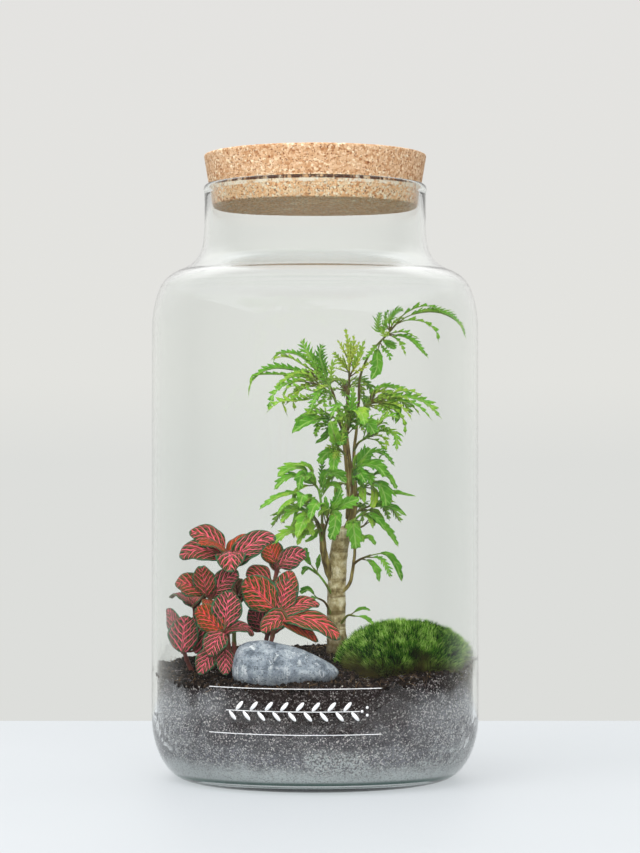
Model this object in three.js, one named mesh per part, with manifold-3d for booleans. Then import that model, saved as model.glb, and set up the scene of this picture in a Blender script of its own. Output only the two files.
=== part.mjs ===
// A closed plant terrarium: a straight-sided glass jar with a cork stopper, filled with potting
// soil, a cobble, a moss cushion, a small aralia tree and a fittonia.
// Millimetres, +Z up, origin at the centre of the jar's foot. The viewer's side is -Y.

import * as THREE from 'three';
import { mergeVertices } from 'three/addons/utils/BufferGeometryUtils.js';
import Module from 'manifold-3d';

const wasm = await Module();
wasm.setup();

// Jar
const JAR_RADIUS = 100;
const JAR_WALL = 3;
const JAR_FOOT_RADIUS = 77;
const JAR_FLOOR = 6;
const JAR_CORNER_HEIGHT = 38;
const JAR_SHOULDER_HEIGHT = 268;
const JAR_NECK_RADIUS = 67.9;
const JAR_MOUTH_RADIUS = 65.15;
const JAR_NECK_HEIGHT = 330;
const JAR_HEIGHT = 362.9;
const JAR_SIDES = 28;

// Stopper
const CORK_BOTTOM = 349.8;
const CORK_TOP = 381.3;
const CORK_BOTTOM_RADIUS = 63.2;
const CORK_TOP_RADIUS = 68.2;
const CORK_EDGE = 1.2;

// Ground
const GAP = 0.3;
const FINE = 0.12;
const SOIL_FRONT = 62.5;
const SOIL_BACK_RISE = 11;
const SOIL_LEFT_FALL = 5;
const SOIL_RIGHT_RISE = 3;
const SOIL_WAVE = 0.8;
const SOIL_LUMP = 0.9;
const SOIL_LUMP_SPACING = 36;
const SOIL_RINGS = [78, 54, 28, 0];
const COBBLE_CENTRE = [-17.2, -66, 69.5];
const COBBLE_HALF_LENGTH = 31;
const COBBLE_HALF_DEPTH = 17;
const COBBLE_ABOVE = 15.9;
const COBBLE_SLOPE = 7.2;
const COBBLE_BELOW = 11;
const COBBLE_BLUNTNESS = 0.46;
const MOSS_CENTRE = [53, -28];
const MOSS_HALF = [40, 31];
const MOSS_BASE = 60;
const MOSS_TOP = 97;
const MOSS_TUFT = 1.1;
const MOSS_FROM_GLASS = 2.6;

// Plants
const BLADE = 0.8;
const STALK = 1;
const FROND_SPACING = 3;
const LOBE_LEAN = 0.85;
const UP_FRONT = [0, -0.6, 0.8];
const UP_BACK = [0, 0.6, 0.8];
const FRONT = [0, -1, 0.15];
const RIGHT_FRONT = [0.5, -0.7, 0.5];
const LEFT_FRONT = [-0.5, -0.7, 0.5];

// Half width of an oval leaf along its length, as shares
const OVAL = [[0.38, 0.8], [0.62, 1], [0.87, 0.7]];
const LEAF_BARE = 0.18;

// Colours and finishes
const FINISH = {
  glass: { color: 0xdfe6e0, roughness: 0.05, metalness: 0, transparent: true, opacity: 0.3 },
  cork: { color: 0xd6b28f, roughness: 0.9, metalness: 0 },
  soil: { color: 0x3a3130, roughness: 1, metalness: 0 },
  cobble: { color: 0x8b939e, roughness: 0.8, metalness: 0 },
  moss: { color: 0x4f8a2a, roughness: 1, metalness: 0 },
  bark: { color: 0x9b8c63, roughness: 0.85, metalness: 0 },
  aralia: { color: 0x66a83a, roughness: 0.45, metalness: 0 },
  fittonia: { color: 0xc04a52, roughness: 0.5, metalness: 0 },
};

// Small helpers for solids

function vector([x, y, z]) {
  return new THREE.Vector3(x, y, z);
}

function route(points) {
  return new THREE.CatmullRomCurve3(points.map(vector), false, 'catmullrom', 0.5);
}

function smoothstep(from, to, value) {
  return THREE.MathUtils.smoothstep(value, from, to);
}

function solidOf(geometry) {
  const bare = geometry.clone();
  bare.deleteAttribute('normal');
  bare.deleteAttribute('uv');
  const merged = mergeVertices(bare, 1e-4);
  const kept = [];
  const index = merged.index.array;
  for (let i = 0; i < index.length; i += 3) {
    const [a, b, c] = index.slice(i, i + 3);
    if (a !== b && b !== c && c !== a) kept.push(a, b, c);
  }
  return new wasm.Manifold(new wasm.Mesh({
    numProp: 3,
    vertProperties: new Float32Array(merged.attributes.position.array),
    triVerts: new Uint32Array(kept),
  }));
}

function joined(solids) {
  return solids.reduce((whole, next) => whole.add(next));
}

// The largest body of a solid: loose scraps and sealed hollows are left out.
function mainBody(solid) {
  const bodies = solid.simplify(FINE).decompose();
  return bodies.reduce((best, next) => (next.volume() > best.volume() ? next : best));
}

function geometryOf(solid) {
  const mesh = solid.getMesh();
  const geometry = new THREE.BufferGeometry();
  geometry.setAttribute('position', new THREE.BufferAttribute(mesh.vertProperties, 3));
  geometry.setIndex(new THREE.BufferAttribute(mesh.triVerts, 1));
  geometry.computeVertexNormals();
  return geometry;
}

function meshOf(name, geometry, finish) {
  const mesh = new THREE.Mesh(geometry, new THREE.MeshStandardMaterial(FINISH[finish]));
  mesh.name = name;
  return mesh;
}

function lathe(profile, sides) {
  const points = profile.map(([radius, height]) => new THREE.Vector2(radius, height));
  const geometry = new THREE.LatheGeometry(points, sides);
  geometry.rotateX(Math.PI / 2);
  return geometry;
}

// A round tapered rod along a route: a cylinder bent along it, radiusAt(u) at each step.
function rod(points, radiusAt, sides, steps) {
  const curve = route(points);
  const frames = curve.computeFrenetFrames(steps, false);
  const geometry = new THREE.CylinderGeometry(1, 1, 1, sides, steps);
  const position = geometry.attributes.position;
  for (let i = 0; i < position.count; i += 1) {
    const u = position.getY(i) + 0.5;
    const step = Math.round(u * steps);
    const radius = radiusAt(u);
    const place = curve.getPointAt(u)
      .addScaledVector(frames.normals[step], position.getX(i) * radius)
      .addScaledVector(frames.binormals[step], -position.getZ(i) * radius);
    position.setXYZ(i, place.x, place.y, place.z);
  }
  const solid = solidOf(geometry);
  return solid.volume() > 0 ? solid : solidOf(flipped(geometry));
}

function flipped(geometry) {
  const turned = geometry.clone();
  const index = turned.index.array;
  for (let i = 0; i < index.length; i += 3) [index[i], index[i + 1]] = [index[i + 1], index[i]];
  return turned;
}

// A thin plate from a sheet of triangles: the same triangles on both faces, and a wall on every
// free edge. offsets holds half the thickness at each vertex, as a vector.
function plate(vertices, offsets, faces) {
  const count = vertices.length;
  const upper = vertices.map((vertex, i) => vertex.clone().add(offsets[i]));
  const lower = vertices.map((vertex, i) => vertex.clone().sub(offsets[i]));
  const edges = new Map();
  for (const [a, b, c] of faces) {
    for (const [from, to] of [[a, b], [b, c], [c, a]]) edges.set(`${from},${to}`, [from, to]);
  }
  const index = [];
  for (const [a, b, c] of faces) index.push(a, b, c, count + c, count + b, count + a);
  for (const [from, to] of edges.values()) {
    if (edges.has(`${to},${from}`)) continue;
    index.push(from, count + from, to, to, count + from, count + to);
  }
  const geometry = new THREE.BufferGeometry().setFromPoints([...upper, ...lower]);
  geometry.setIndex(index);
  return solidOf(geometry);
}

// Places across a blade: side points to its left, up out of its upper face.
function bladeFrame(curve, u, face) {
  const along = curve.getTangentAt(u);
  const side = new THREE.Vector3().crossVectors(vector(face), along).normalize();
  const up = new THREE.Vector3().crossVectors(along, side);
  return { at: curve.getPointAt(u), along, side, up };
}

// A frond: one thin arched blade cut to the rib into pointed leaflets that lean forward.
// grow widens it all round, for the room that other pieces must leave.
function frond({ points, half, teeth, face = UP_FRONT, fold = 22, bare = 0.24 }, grow = 0) {
  const curve = route(points);
  const foldAngle = THREE.MathUtils.degToRad(fold);
  const thickness = (BLADE / 2 + grow) / Math.cos(foldAngle);
  const vertices = [];
  const offsets = [];
  const faces = [];
  const put = (frame, across, rise) => {
    vertices.push(frame.at.clone().addScaledVector(frame.side, across).addScaledVector(frame.up, rise));
    offsets.push(frame.up.clone().multiplyScalar(thickness));
    return vertices.length - 1;
  };
  const outline = (u) => Math.sin(Math.PI * (0.16 + 0.76 * (u - bare) / (1 - bare))) ** 0.8;
  const ribPair = (u) => {
    const frame = bladeFrame(curve, u, face);
    const rib = (u > bare ? Math.max(0.5, 0.26 * half * outline(u)) : 0.5) + grow;
    return [put(frame, rib, 0), put(frame, -rib, 0)];
  };
  let [left, right] = ribPair(0);
  const stations = [bare];
  for (let i = 1; i <= teeth; i += 1) stations.push(bare + (0.94 - bare) * (i / teeth));
  for (const [i, u] of stations.entries()) {
    const [nextLeft, nextRight] = ribPair(u);
    faces.push([left, right, nextRight], [left, nextRight, nextLeft]);
    if (i > 0) {
      const middle = (stations[i - 1] + u) / 2;
      const lean = LOBE_LEAN * (u - stations[i - 1]);
      const frame = bladeFrame(curve, Math.min(1, middle + lean), face);
      const uneven = 1 + 0.14 * Math.sin(i * 2.3 + half);
      const reach = half * outline(middle) + 2 * grow;
      const tipLeft = put(frame, Math.cos(foldAngle) * reach * uneven, Math.sin(foldAngle) * reach);
      const tipRight = put(frame, -Math.cos(foldAngle) * reach * (2 - uneven),
        Math.sin(foldAngle) * reach);
      faces.push([tipLeft, left, nextLeft], [right, tipRight, nextRight]);
    }
    [left, right] = [nextLeft, nextRight];
  }
  const end = bladeFrame(curve, 1, face);
  end.at.addScaledVector(end.along, 2 * grow);
  faces.push([left, right, put(end, 0, 0)]);
  return plate(vertices, offsets, faces);
}

// An oval leaf with a folded midrib, pointed at its tip, drawn in at its foot.
function ovalLeaf({ points, half, face = UP_FRONT, fold = 14 }, grow = 0) {
  const curve = route(points);
  const foldAngle = THREE.MathUtils.degToRad(fold);
  const thickness = (BLADE / 2 + grow) / Math.cos(foldAngle);
  const vertices = [];
  const offsets = [];
  const faces = [];
  const put = (frame, across, rise) => {
    vertices.push(frame.at.clone().addScaledVector(frame.side, across).addScaledVector(frame.up, rise));
    offsets.push(frame.up.clone().multiplyScalar(thickness));
    return vertices.length - 1;
  };
  const row = ([u, width]) => {
    const frame = bladeFrame(curve, u, face);
    const out = Math.cos(foldAngle) * half * width + grow;
    const rise = Math.sin(foldAngle) * half * width;
    return [put(frame, out, rise), put(frame, 0, 0), put(frame, -out, rise)];
  };
  const stalkPair = (u) => {
    const frame = bladeFrame(curve, u, face);
    return [put(frame, 0.5 + grow, 0), put(frame, -0.5 - grow, 0)];
  };
  const [footLeft, footRight] = stalkPair(0);
  const [neckLeft, neckRight] = stalkPair(LEAF_BARE);
  const [first, ...others] = OVAL;
  let last = row(first);
  faces.push([footLeft, footRight, neckRight], [footLeft, neckRight, neckLeft]);
  faces.push([neckLeft, last[1], last[0]], [neckLeft, neckRight, last[1]],
    [neckRight, last[2], last[1]]);
  for (const place of others) {
    const next = row(place);
    for (const j of [0, 1]) {
      faces.push([last[j], last[j + 1], next[j + 1]], [last[j], next[j + 1], next[j]]);
    }
    last = next;
  }
  const end = bladeFrame(curve, 1, face);
  end.at.addScaledVector(end.along, 2 * grow);
  const tip = put(end, 0, 0);
  faces.push([last[0], last[1], tip], [last[1], last[2], tip]);
  return plate(vertices, offsets, faces);
}

// Jar: the outer outline from the foot up to the rim, then the inner one down to the floor

function arc(centre, radii, from, to, steps) {
  const points = [];
  for (let i = 0; i <= steps; i += 1) {
    const angle = THREE.MathUtils.degToRad(from + (to - from) * (i / steps));
    points.push([centre[0] + radii[0] * Math.cos(angle), centre[1] + radii[1] * Math.sin(angle)]);
  }
  return points;
}

const JAR_SHOULDER = [
  [JAR_RADIUS, JAR_SHOULDER_HEIGHT], [98.8, 287], [94.5, 300.5],
  [84.5, 309.8], [72.5, 317.5], [JAR_NECK_RADIUS, JAR_NECK_HEIGHT],
];
const JAR_INNER_SHOULDER = [
  [JAR_RADIUS - JAR_WALL, JAR_SHOULDER_HEIGHT], [95, 288], [88, 301],
  [70.5, 313], [JAR_MOUTH_RADIUS, JAR_NECK_HEIGHT],
];
const innerCorner = arc(
  [JAR_FOOT_RADIUS - 2, JAR_CORNER_HEIGHT + JAR_FLOOR - 4],
  [JAR_RADIUS - JAR_WALL - JAR_FOOT_RADIUS + 2, JAR_CORNER_HEIGHT - 4], -90, 0, 3,
);

function jarGeometry() {
  const outerCorner = arc(
    [JAR_FOOT_RADIUS, JAR_CORNER_HEIGHT],
    [JAR_RADIUS - JAR_FOOT_RADIUS, JAR_CORNER_HEIGHT], -90, 0, 4,
  );
  const rimMiddle = (JAR_MOUTH_RADIUS + JAR_NECK_RADIUS) / 2;
  return lathe([
    [0, 0], ...outerCorner, ...JAR_SHOULDER,
    [JAR_NECK_RADIUS, JAR_HEIGHT - 1.4], [rimMiddle, JAR_HEIGHT],
    [JAR_MOUTH_RADIUS, JAR_HEIGHT - 1.8],
    ...[...JAR_INNER_SHOULDER].reverse(), ...[...innerCorner].reverse(), [0, JAR_FLOOR],
  ], JAR_SIDES);
}

// Stopper: a tapered disc of cork with small broken edges

function corkGeometry() {
  return lathe([
    [0, CORK_BOTTOM], [CORK_BOTTOM_RADIUS - CORK_EDGE, CORK_BOTTOM],
    [CORK_BOTTOM_RADIUS, CORK_BOTTOM + CORK_EDGE],
    [CORK_TOP_RADIUS, CORK_TOP - CORK_EDGE], [CORK_TOP_RADIUS - CORK_EDGE, CORK_TOP],
    [0, CORK_TOP],
  ], JAR_SIDES);
}

// Soil: the bed that fills the jar's bottom, with an uneven top

function soilHeight(x, y) {
  const back = SOIL_BACK_RISE * smoothstep(-85, 0, y);
  const right = SOIL_RIGHT_RISE * smoothstep(30, 92, x) - SOIL_LEFT_FALL * smoothstep(40, 95, -x);
  const waves = SOIL_WAVE * (Math.sin(x * 0.11 + 1) + Math.sin(y * 0.13 + x * 0.05));
  const turn = (2 * Math.PI) / SOIL_LUMP_SPACING;
  const lumps = SOIL_LUMP * Math.sin(x * turn) * Math.sin(y * turn);
  return SOIL_FRONT + back + right + waves + lumps;
}

function soilSolid() {
  const profile = [[0, JAR_FLOOR + GAP]];
  for (const [radius, height] of innerCorner) profile.push([radius - GAP, height + GAP]);
  const rim = JAR_RADIUS - JAR_WALL - GAP;
  const top = 90;
  for (const radius of [rim, ...SOIL_RINGS]) profile.push([radius, top]);
  const geometry = lathe(profile, JAR_SIDES);
  const position = geometry.attributes.position;
  for (let i = 0; i < position.count; i += 1) {
    if (position.getZ(i) < top) continue;
    position.setZ(i, soilHeight(position.getX(i), position.getY(i)));
  }
  return solidOf(geometry);
}

// Cobble: a rounded stone, high and blunt at its left end, sloping down to the right

function cobbleSolid(grow = 0) {
  const geometry = new THREE.SphereGeometry(1, 15, 8);
  geometry.rotateX(Math.PI / 2);
  const position = geometry.attributes.position;
  const [cx, cy, cz] = COBBLE_CENTRE;
  for (let i = 0; i < position.count; i += 1) {
    const [x, y, z] = [position.getX(i), position.getY(i), position.getZ(i)];
    const along = x < 0 ? -(Math.abs(x) ** COBBLE_BLUNTNESS) : x;
    const height = z > 0 ? COBBLE_ABOVE - COBBLE_SLOPE * along : COBBLE_BELOW;
    const lumps = 1 + 0.025 * Math.sin(5 * x + 1) * Math.cos(4 * y) + 0.02 * Math.sin(6 * z + 3 * x);
    position.setXYZ(i,
      cx + (COBBLE_HALF_LENGTH + grow) * along,
      cy + (COBBLE_HALF_DEPTH + grow) * y * lumps * (1 - 0.1 * x),
      cz + (height + grow) * z * lumps);
  }
  return solidOf(geometry);
}

// Moss cushion: a low dome whose surface stands in small tufts; its edge keeps off the glass

function mossSolid(tuftHeight = MOSS_TUFT, grow = 0) {
  const rings = 7;
  const around = 28;
  const [cx, cy] = MOSS_CENTRE;
  const limit = JAR_RADIUS - JAR_WALL - MOSS_FROM_GLASS + grow * 0.5;
  const profile = [[0, 0], [1, 0]];
  for (let i = 0; i <= rings; i += 1) profile.push([1 - i / rings, 1]);
  const geometry = lathe(profile, around);
  const position = geometry.attributes.position;
  for (let i = 0; i < position.count; i += 1) {
    const [px, py, level] = [position.getX(i), position.getY(i), position.getZ(i)];
    const radius = Math.hypot(px, py);
    const angle = Math.atan2(py, px);
    const ring = Math.round((1 - radius) * rings);
    const spoke = Math.round((angle / (2 * Math.PI)) * around);
    const raised = level > 0.5 && ring > 0 && ring < rings && (ring + spoke) % 2 === 0;
    const tuft = raised ? tuftHeight : 0;
    const outline = 1 + 0.05 * Math.sin(3 * angle + 0.7) + 0.03 * Math.sin(5 * angle);
    let x = cx + (MOSS_HALF[0] + grow + tuft * radius) * px * outline;
    let y = cy + (MOSS_HALF[1] + grow + tuft * radius) * py * outline;
    const pull = Math.min(1, limit / Math.hypot(x, y));
    x *= pull;
    y *= pull;
    const dome = Math.sqrt(Math.max(0, 1 - radius ** 2.6));
    const rise = 4 + (MOSS_TOP - MOSS_BASE - 4 - MOSS_TUFT) * dome + tuft + grow;
    position.setXYZ(i, x, y, level > 0.5 ? MOSS_BASE + rise : MOSS_BASE - grow);
  }
  return solidOf(geometry);
}

// Tree trunk and its woody stems, all one body of bark

const TRUNK = [
  [13, 8, 54], [13.5, 8, 76], [13, 7.5, 100], [13.5, 7.5, 120], [14.5, 7, 136], [16.8, 6.5, 151],
];
const TRUNK_LENGTH = 98;
const WOODY_STEMS = [
  // The main stem from the cut top of the trunk, up through both clusters of leaves
  {
    points: [
      [17, 7, 146], [22.5, 7, 159], [24, 8, 178], [20.8, 9, 194], [19, 10, 212], [20, 10, 228],
    ],
    from: 2.9,
    to: 1.1,
  },
  {
    points: [[20, 7, 158], [20.5, 3.5, 175], [18.6, 2.5, 197], [16.5, 4, 214], [13, 5, 230]],
    from: 1.4,
    to: 0.8,
  },
  {
    points: [[22.5, 7, 160], [24.6, 13, 178], [24, 14.5, 197], [25.5, 14, 212], [27, 14, 230]],
    from: 1.3,
    to: 0.8,
  },
  // The thick side shoot on the left with its bundle of stems
  { points: [[12, 7, 118], [8, 5, 127], [5, 3, 140], [4.4, 2, 155]], from: 2.9, to: 1.7 },
  // The thin side shoot on the right
  {
    points: [[15, 5, 112], [21, 3, 118], [23.4, 2, 129], [24.4, 2, 140], [23.6, 3, 150]],
    from: 1.2,
    to: 0.8,
  },
];
const TRUNK_RADIUS = 6;
const SCAR_SPACING = 10.3;

function barkSolid(grow = 0) {
  const trunk = rod(TRUNK, (u) => {
    const flare = 1.2 * Math.exp(-Math.abs(u * TRUNK_LENGTH - 22) / 6);
    const scars = 0.25 * Math.cos((2 * Math.PI * u * TRUNK_LENGTH) / SCAR_SPACING);
    return TRUNK_RADIUS + flare + scars - 0.5 * u + grow;
  }, 9, 12);
  const stems = WOODY_STEMS.map(({ points, from, to }) => (
    rod(points, (u) => from + (to - from) * u + grow, 5, 4)
  ));
  return joined([trunk, ...stems]);
}

// Aralia leaf sprays. Each has a stalk from the wood and the fronds that it carries.

const SPRAYS = [
  {
    name: 'aralia_crown_left_high',
    stalk: [[14, 5, 226], [9, 1, 240], [1, -3, 248]],
    fronds: [
      {
        points: [[-13, -8, 249], [-24, -12, 250], [-33, -15, 247], [-40, -17, 240]],
        half: 5.5,
        teeth: 4,
        fold: 34,
      },
      { points: [[-34, -16, 246], [-39, -19, 240], [-40.5, -20, 232]], half: 2.4, teeth: 3, fold: 30 },
      { points: [[-8, -1, 257], [-17, 2, 260], [-23, 3, 259], [-26, 3, 254]], half: 4, teeth: 3, fold: 30 },
      { points: [[-4, -3, 259], [-9, -3, 269]], half: 6.5, teeth: 3, face: FRONT },
      { points: [[3, -5, 257], [5, -6, 266]], half: 6, teeth: 3, face: FRONT },
    ],
  },
  {
    name: 'aralia_crown_left_middle',
    stalk: [[16, 3, 222], [11, -6, 233], [3, -10, 240]],
    fronds: [
      { points: [[-9, -16, 242], [-18, -20, 240], [-25, -24, 234], [-28, -26, 223]], half: 5, teeth: 4 },
      { points: [[-8, -11, 245], [-17, -14, 244], [-25, -17, 238]], half: 3, teeth: 3 },
      { points: [[-4, -17, 231], [-13, -24, 230], [-22, -28, 229], [-30, -32, 222]], half: 4.4, teeth: 4 },
      { points: [[4, -18, 237], [0, -27, 231], [-3, -32, 224]], half: 4.6, teeth: 3 },
    ],
  },
  {
    name: 'aralia_crown_left_low',
    stalk: [[17, 2, 212], [14, -4, 218], [9, -9, 222]],
    fronds: [
      { points: [[-1, -15, 223], [-8, -20, 218], [-14, -24, 210]], half: 4.6, teeth: 3, face: UP_FRONT },
      { points: [[5, -18, 219], [-4, -26, 217], [-13, -31, 211]], half: 6.5, teeth: 3 },
      { points: [[9, -14, 212], [5, -17, 207], [0, -19, 204]], half: 3.6, teeth: 3 },
    ],
  },
  {
    name: 'aralia_crown_top',
    stalk: [[20, 10, 226], [21, 9, 240], [21, 7, 255]],
    fronds: [
      { points: [[20.5, 6, 264], [18.5, 5, 276]], half: 2.4, teeth: 3, face: FRONT },
      { points: [[23.5, 5, 263], [24, 3, 272]], half: 2.2, teeth: 3, face: FRONT },
      { points: [[15, 2, 256], [11, -2, 261]], half: 3, teeth: 3, face: LEFT_FRONT },
      { points: [[27, 4, 259], [31, 2, 269]], half: 3, teeth: 3, face: FRONT },
    ],
  },
  {
    name: 'aralia_crown_right_high',
    stalk: [[27, 13, 229], [28, 11, 246], [34, 8, 260], [43, 5, 270], [51, 2, 279]],
    fronds: [
      {
        points: [[58, 0, 283], [70, -3, 285], [80, -6, 283], [88, -9, 277], [92, -11, 268]],
        half: 5.2,
        teeth: 5,
        fold: 44,
        bare: 0.04,
      },
      { points: [[39, 3, 275], [40, 1, 286]], half: 5, teeth: 3, face: FRONT },
      { points: [[46, 4, 280], [50, 5, 286], [55, 6, 287]], half: 3.4, teeth: 3, face: FRONT },
      { points: [[49, 0, 271], [58, -6, 268], [64, -10, 262], [69, -13, 256]], half: 4.2, teeth: 3 },
      { points: [[43, 1, 267], [49, -3, 262]], half: 4, teeth: 3 },
      { points: [[38, -1, 259], [38, -7, 251], [34, -10, 243]], half: 5.4, teeth: 3, face: FRONT },
    ],
  },
  {
    name: 'aralia_crown_right_middle',
    stalk: [[26, 13.6, 219], [31, 8.5, 227], [40, 2, 231]],
    fronds: [
      { points: [[49, -3, 233], [60, -8, 232], [69, -12, 228], [77, -16, 219]], half: 4.6, teeth: 4 },
      { points: [[55, -9, 230], [64, -15, 226], [71, -19, 218]], half: 2.6, teeth: 3 },
      { points: [[38, 8, 238], [48, 6, 239], [56, 5, 236], [61, 4, 231]], half: 4.2, teeth: 3 },
      { points: [[49, -3, 227], [51, -5, 222], [49, -6, 216]], half: 3.6, teeth: 3, face: FRONT },
    ],
  },
  {
    name: 'aralia_crown_right_low',
    stalk: [[24, 14, 200], [27, 8, 205], [32, 4, 208]],
    fronds: [
      { points: [[41, -1, 212], [49, -5, 209], [50, -7, 199]], half: 4.6, teeth: 3 },
      { points: [[36, -4, 214], [45, -9, 221], [52, -12, 219]], half: 4.6, teeth: 3 },
    ],
  },
  {
    name: 'aralia_crown_front',
    stalk: [[18, 2, 204], [20, -4, 212], [21, -9, 220]],
    fronds: [
      { points: [[25, -14, 217], [32, -20, 216], [36, -23, 210]], half: 6.5, teeth: 3 },
      { points: [[24, -17, 224], [28, -24, 222], [30, -28, 215]], half: 5.6, teeth: 3 },
      { points: [[18, -18, 226], [13, -26, 226], [9, -31, 219]], half: 5.6, teeth: 3 },
      { points: [[17, -13, 210], [15, -19, 203]], half: 5, teeth: 3, face: FRONT },
      { points: [[23, -12, 232], [22, -15, 240]], half: 5.4, teeth: 3, face: FRONT },
    ],
  },
  {
    name: 'aralia_crown_centre',
    stalk: [[20, 7, 195], [17, -1, 199], [14, -8, 202]],
    fronds: [
      { points: [[12, -20, 208], [9, -24, 218]], half: 5.4, teeth: 3, face: FRONT },
      { points: [[12, -13, 196], [11, -17, 188]], half: 5.4, teeth: 3, face: FRONT },
      { points: [[8, -11, 199], [2, -14, 192]], half: 4.6, teeth: 3, face: FRONT },
    ],
  },
  {
    name: 'aralia_middle_right_high',
    stalk: [[24, 9, 176], [23, 2, 184], [23, -3, 189]],
    fronds: [
      { points: [[29, -7, 195], [34, -9, 201]], half: 6, teeth: 3, face: FRONT },
      { points: [[30, -9, 191], [38, -13, 190], [43, -15, 184]], half: 6.5, teeth: 3 },
      { points: [[33, -4, 198], [42, -6, 198], [49, -8, 190]], half: 4, teeth: 3 },
      { points: [[27, -12, 186], [31, -18, 180]], half: 5.6, teeth: 3, face: FRONT },
    ],
  },
  {
    name: 'aralia_middle_right',
    stalk: [[24, 10, 168], [28, 4, 175], [32, 0, 180]],
    fronds: [
      { points: [[38, -4, 186], [45, -7, 184], [50, -9, 176]], half: 4, teeth: 3 },
      { points: [[38, -7, 180], [42, -11, 173], [43, -13, 166]], half: 7.5, teeth: 3, face: RIGHT_FRONT },
      { points: [[36, 4, 173], [48, 2, 174], [62, 0, 172]], half: 3.2, teeth: 4 },
      { points: [[29, -5, 176], [30, -9, 168]], half: 3.6, teeth: 3, face: FRONT },
    ],
  },
  {
    name: 'aralia_middle_right_low',
    stalk: [[23, 6, 156], [27, 2, 160], [30, -1, 162]],
    fronds: [
      { points: [[38, -4, 166], [48, -6, 165], [56, -8, 160]], half: 4, teeth: 3 },
      { points: [[34, -6, 161], [39, -9, 157], [43, -11, 151]], half: 3.8, teeth: 3 },
    ],
  },
  {
    name: 'aralia_middle_right_shoot',
    stalk: [[23.6, 3, 149], [26, 1, 152], [30, 0, 154]],
    fronds: [
      { points: [[37, -2, 158], [44, -3, 152], [51, -4, 141]], half: 4.2, teeth: 3 },
      { points: [[29, -1, 146], [33, -3, 147], [37, -4, 142]], half: 3, teeth: 3 },
      { points: [[23, -8, 156], [24, -12, 149], [25, -13, 140]], half: 6.5, teeth: 3, face: FRONT },
    ],
  },
  {
    name: 'aralia_middle_left_high',
    stalk: [[4.4, 2, 152], [4, 0, 165], [2, -2, 176], [-2, -4, 182]],
    fronds: [
      { points: [[-8, -7, 189], [-15, -9, 189], [-23, -11, 184]], half: 5.5, teeth: 3 },
      { points: [[-11, -10, 184], [-18, -13, 183], [-25, -15, 176]], half: 5, teeth: 3 },
      { points: [[-7, -14, 185], [-9, -19, 182], [-10, -22, 176]], half: 5, teeth: 3, face: FRONT },
      { points: [[4, -3, 187], [4.5, -4, 199]], half: 3.2, teeth: 3, face: FRONT },
      { points: [[7, -7, 185], [14, -10, 185], [19, -12, 180]], half: 6, teeth: 3 },
    ],
  },
  {
    name: 'aralia_middle_left',
    stalk: [[5, 2.5, 142], [0, -4, 158], [-6, -8, 170]],
    fronds: [
      { points: [[-14, -12, 174], [-24, -16, 171], [-34, -20, 164]], half: 4.2, teeth: 3 },
      { points: [[-11, -17, 170], [-18, -22, 167], [-23, -25, 161]], half: 3.2, teeth: 3 },
      { points: [[-6, -18, 173], [-8, -26, 171], [-9, -31, 165]], half: 5.6, teeth: 3 },
    ],
  },
  {
    name: 'aralia_middle_left_low',
    stalk: [[4.4, 2, 150], [2, -5, 156], [0, -9, 159]],
    fronds: [
      { points: [[-8, -15, 164], [-15, -20, 162], [-21, -23, 156]], half: 4.4, teeth: 3 },
      { points: [[-4, -20, 161], [-8, -27, 155], [-11, -31, 147]], half: 6, teeth: 3 },
      { points: [[-7, -11, 152], [-17, -16, 150], [-26, -22, 143]], half: 5.5, teeth: 3 },
      { points: [[-1, -7, 147], [-6, -9, 144]], half: 3, teeth: 3 },
    ],
  },
  {
    name: 'aralia_middle_front',
    stalk: [[4.6, 1, 146], [7, -7, 155], [10, -12, 162]],
    fronds: [
      { points: [[17, -17, 167], [27, -21, 171]], half: 5, teeth: 3, face: FRONT },
      { points: [[12, -21, 161], [12, -25, 154], [9, -27, 146]], half: 6, teeth: 3, face: FRONT },
      { points: [[13, -17, 170], [16, -19, 177]], half: 4.6, teeth: 3, face: FRONT },
      { points: [[3, -21, 168], [-1, -29, 165], [-3, -34, 158]], half: 5.4, teeth: 3 },
    ],
  },
  {
    name: 'aralia_shoot_left',
    stalk: [[10, 4, 112], [6, 1, 119], [-1, -3, 128]],
    fronds: [
      { points: [[-5, -5, 134], [-6, -6, 141]], half: 3, teeth: 3, face: FRONT },
      { points: [[2, -6, 132], [3, -8, 137]], half: 2.4, teeth: 3, face: FRONT },
      { points: [[-5, -7, 128], [-8, -10, 124]], half: 3, teeth: 3 },
    ],
  },
  {
    name: 'aralia_shoot_left_low',
    stalk: [[10, 4, 99], [6, 0, 107], [1, -4, 110]],
    fronds: [
      { points: [[-4, -6, 115], [-9, -8, 113]], half: 4, teeth: 3 },
      { points: [[-1, -9, 110], [-3, -12, 106]], half: 3, teeth: 3 },
    ],
  },
  {
    name: 'aralia_shoot_right',
    stalk: [[23.4, 2, 130], [27, 0, 133], [34, -2, 136]],
    fronds: [
      { points: [[43, -5, 137], [49, -7, 131], [53, -8, 120]], half: 4, teeth: 3 },
      { points: [[40, -8, 134], [44, -11, 128], [46, -12, 122]], half: 3.6, teeth: 3 },
      { points: [[34, -8, 132], [38, -12, 126], [39, -13, 120]], half: 3.4, teeth: 3 },
    ],
  },
  {
    name: 'aralia_shoot_right_low',
    stalk: [[16, 3, 94], [20, -1, 99], [24, -4, 99]],
    fronds: [
      { points: [[30, -7, 98], [36, -9, 94]], half: 2.6, teeth: 3 },
      { points: [[28, -1, 103], [34, 0, 102]], half: 2.4, teeth: 3 },
    ],
  },
];

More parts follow.
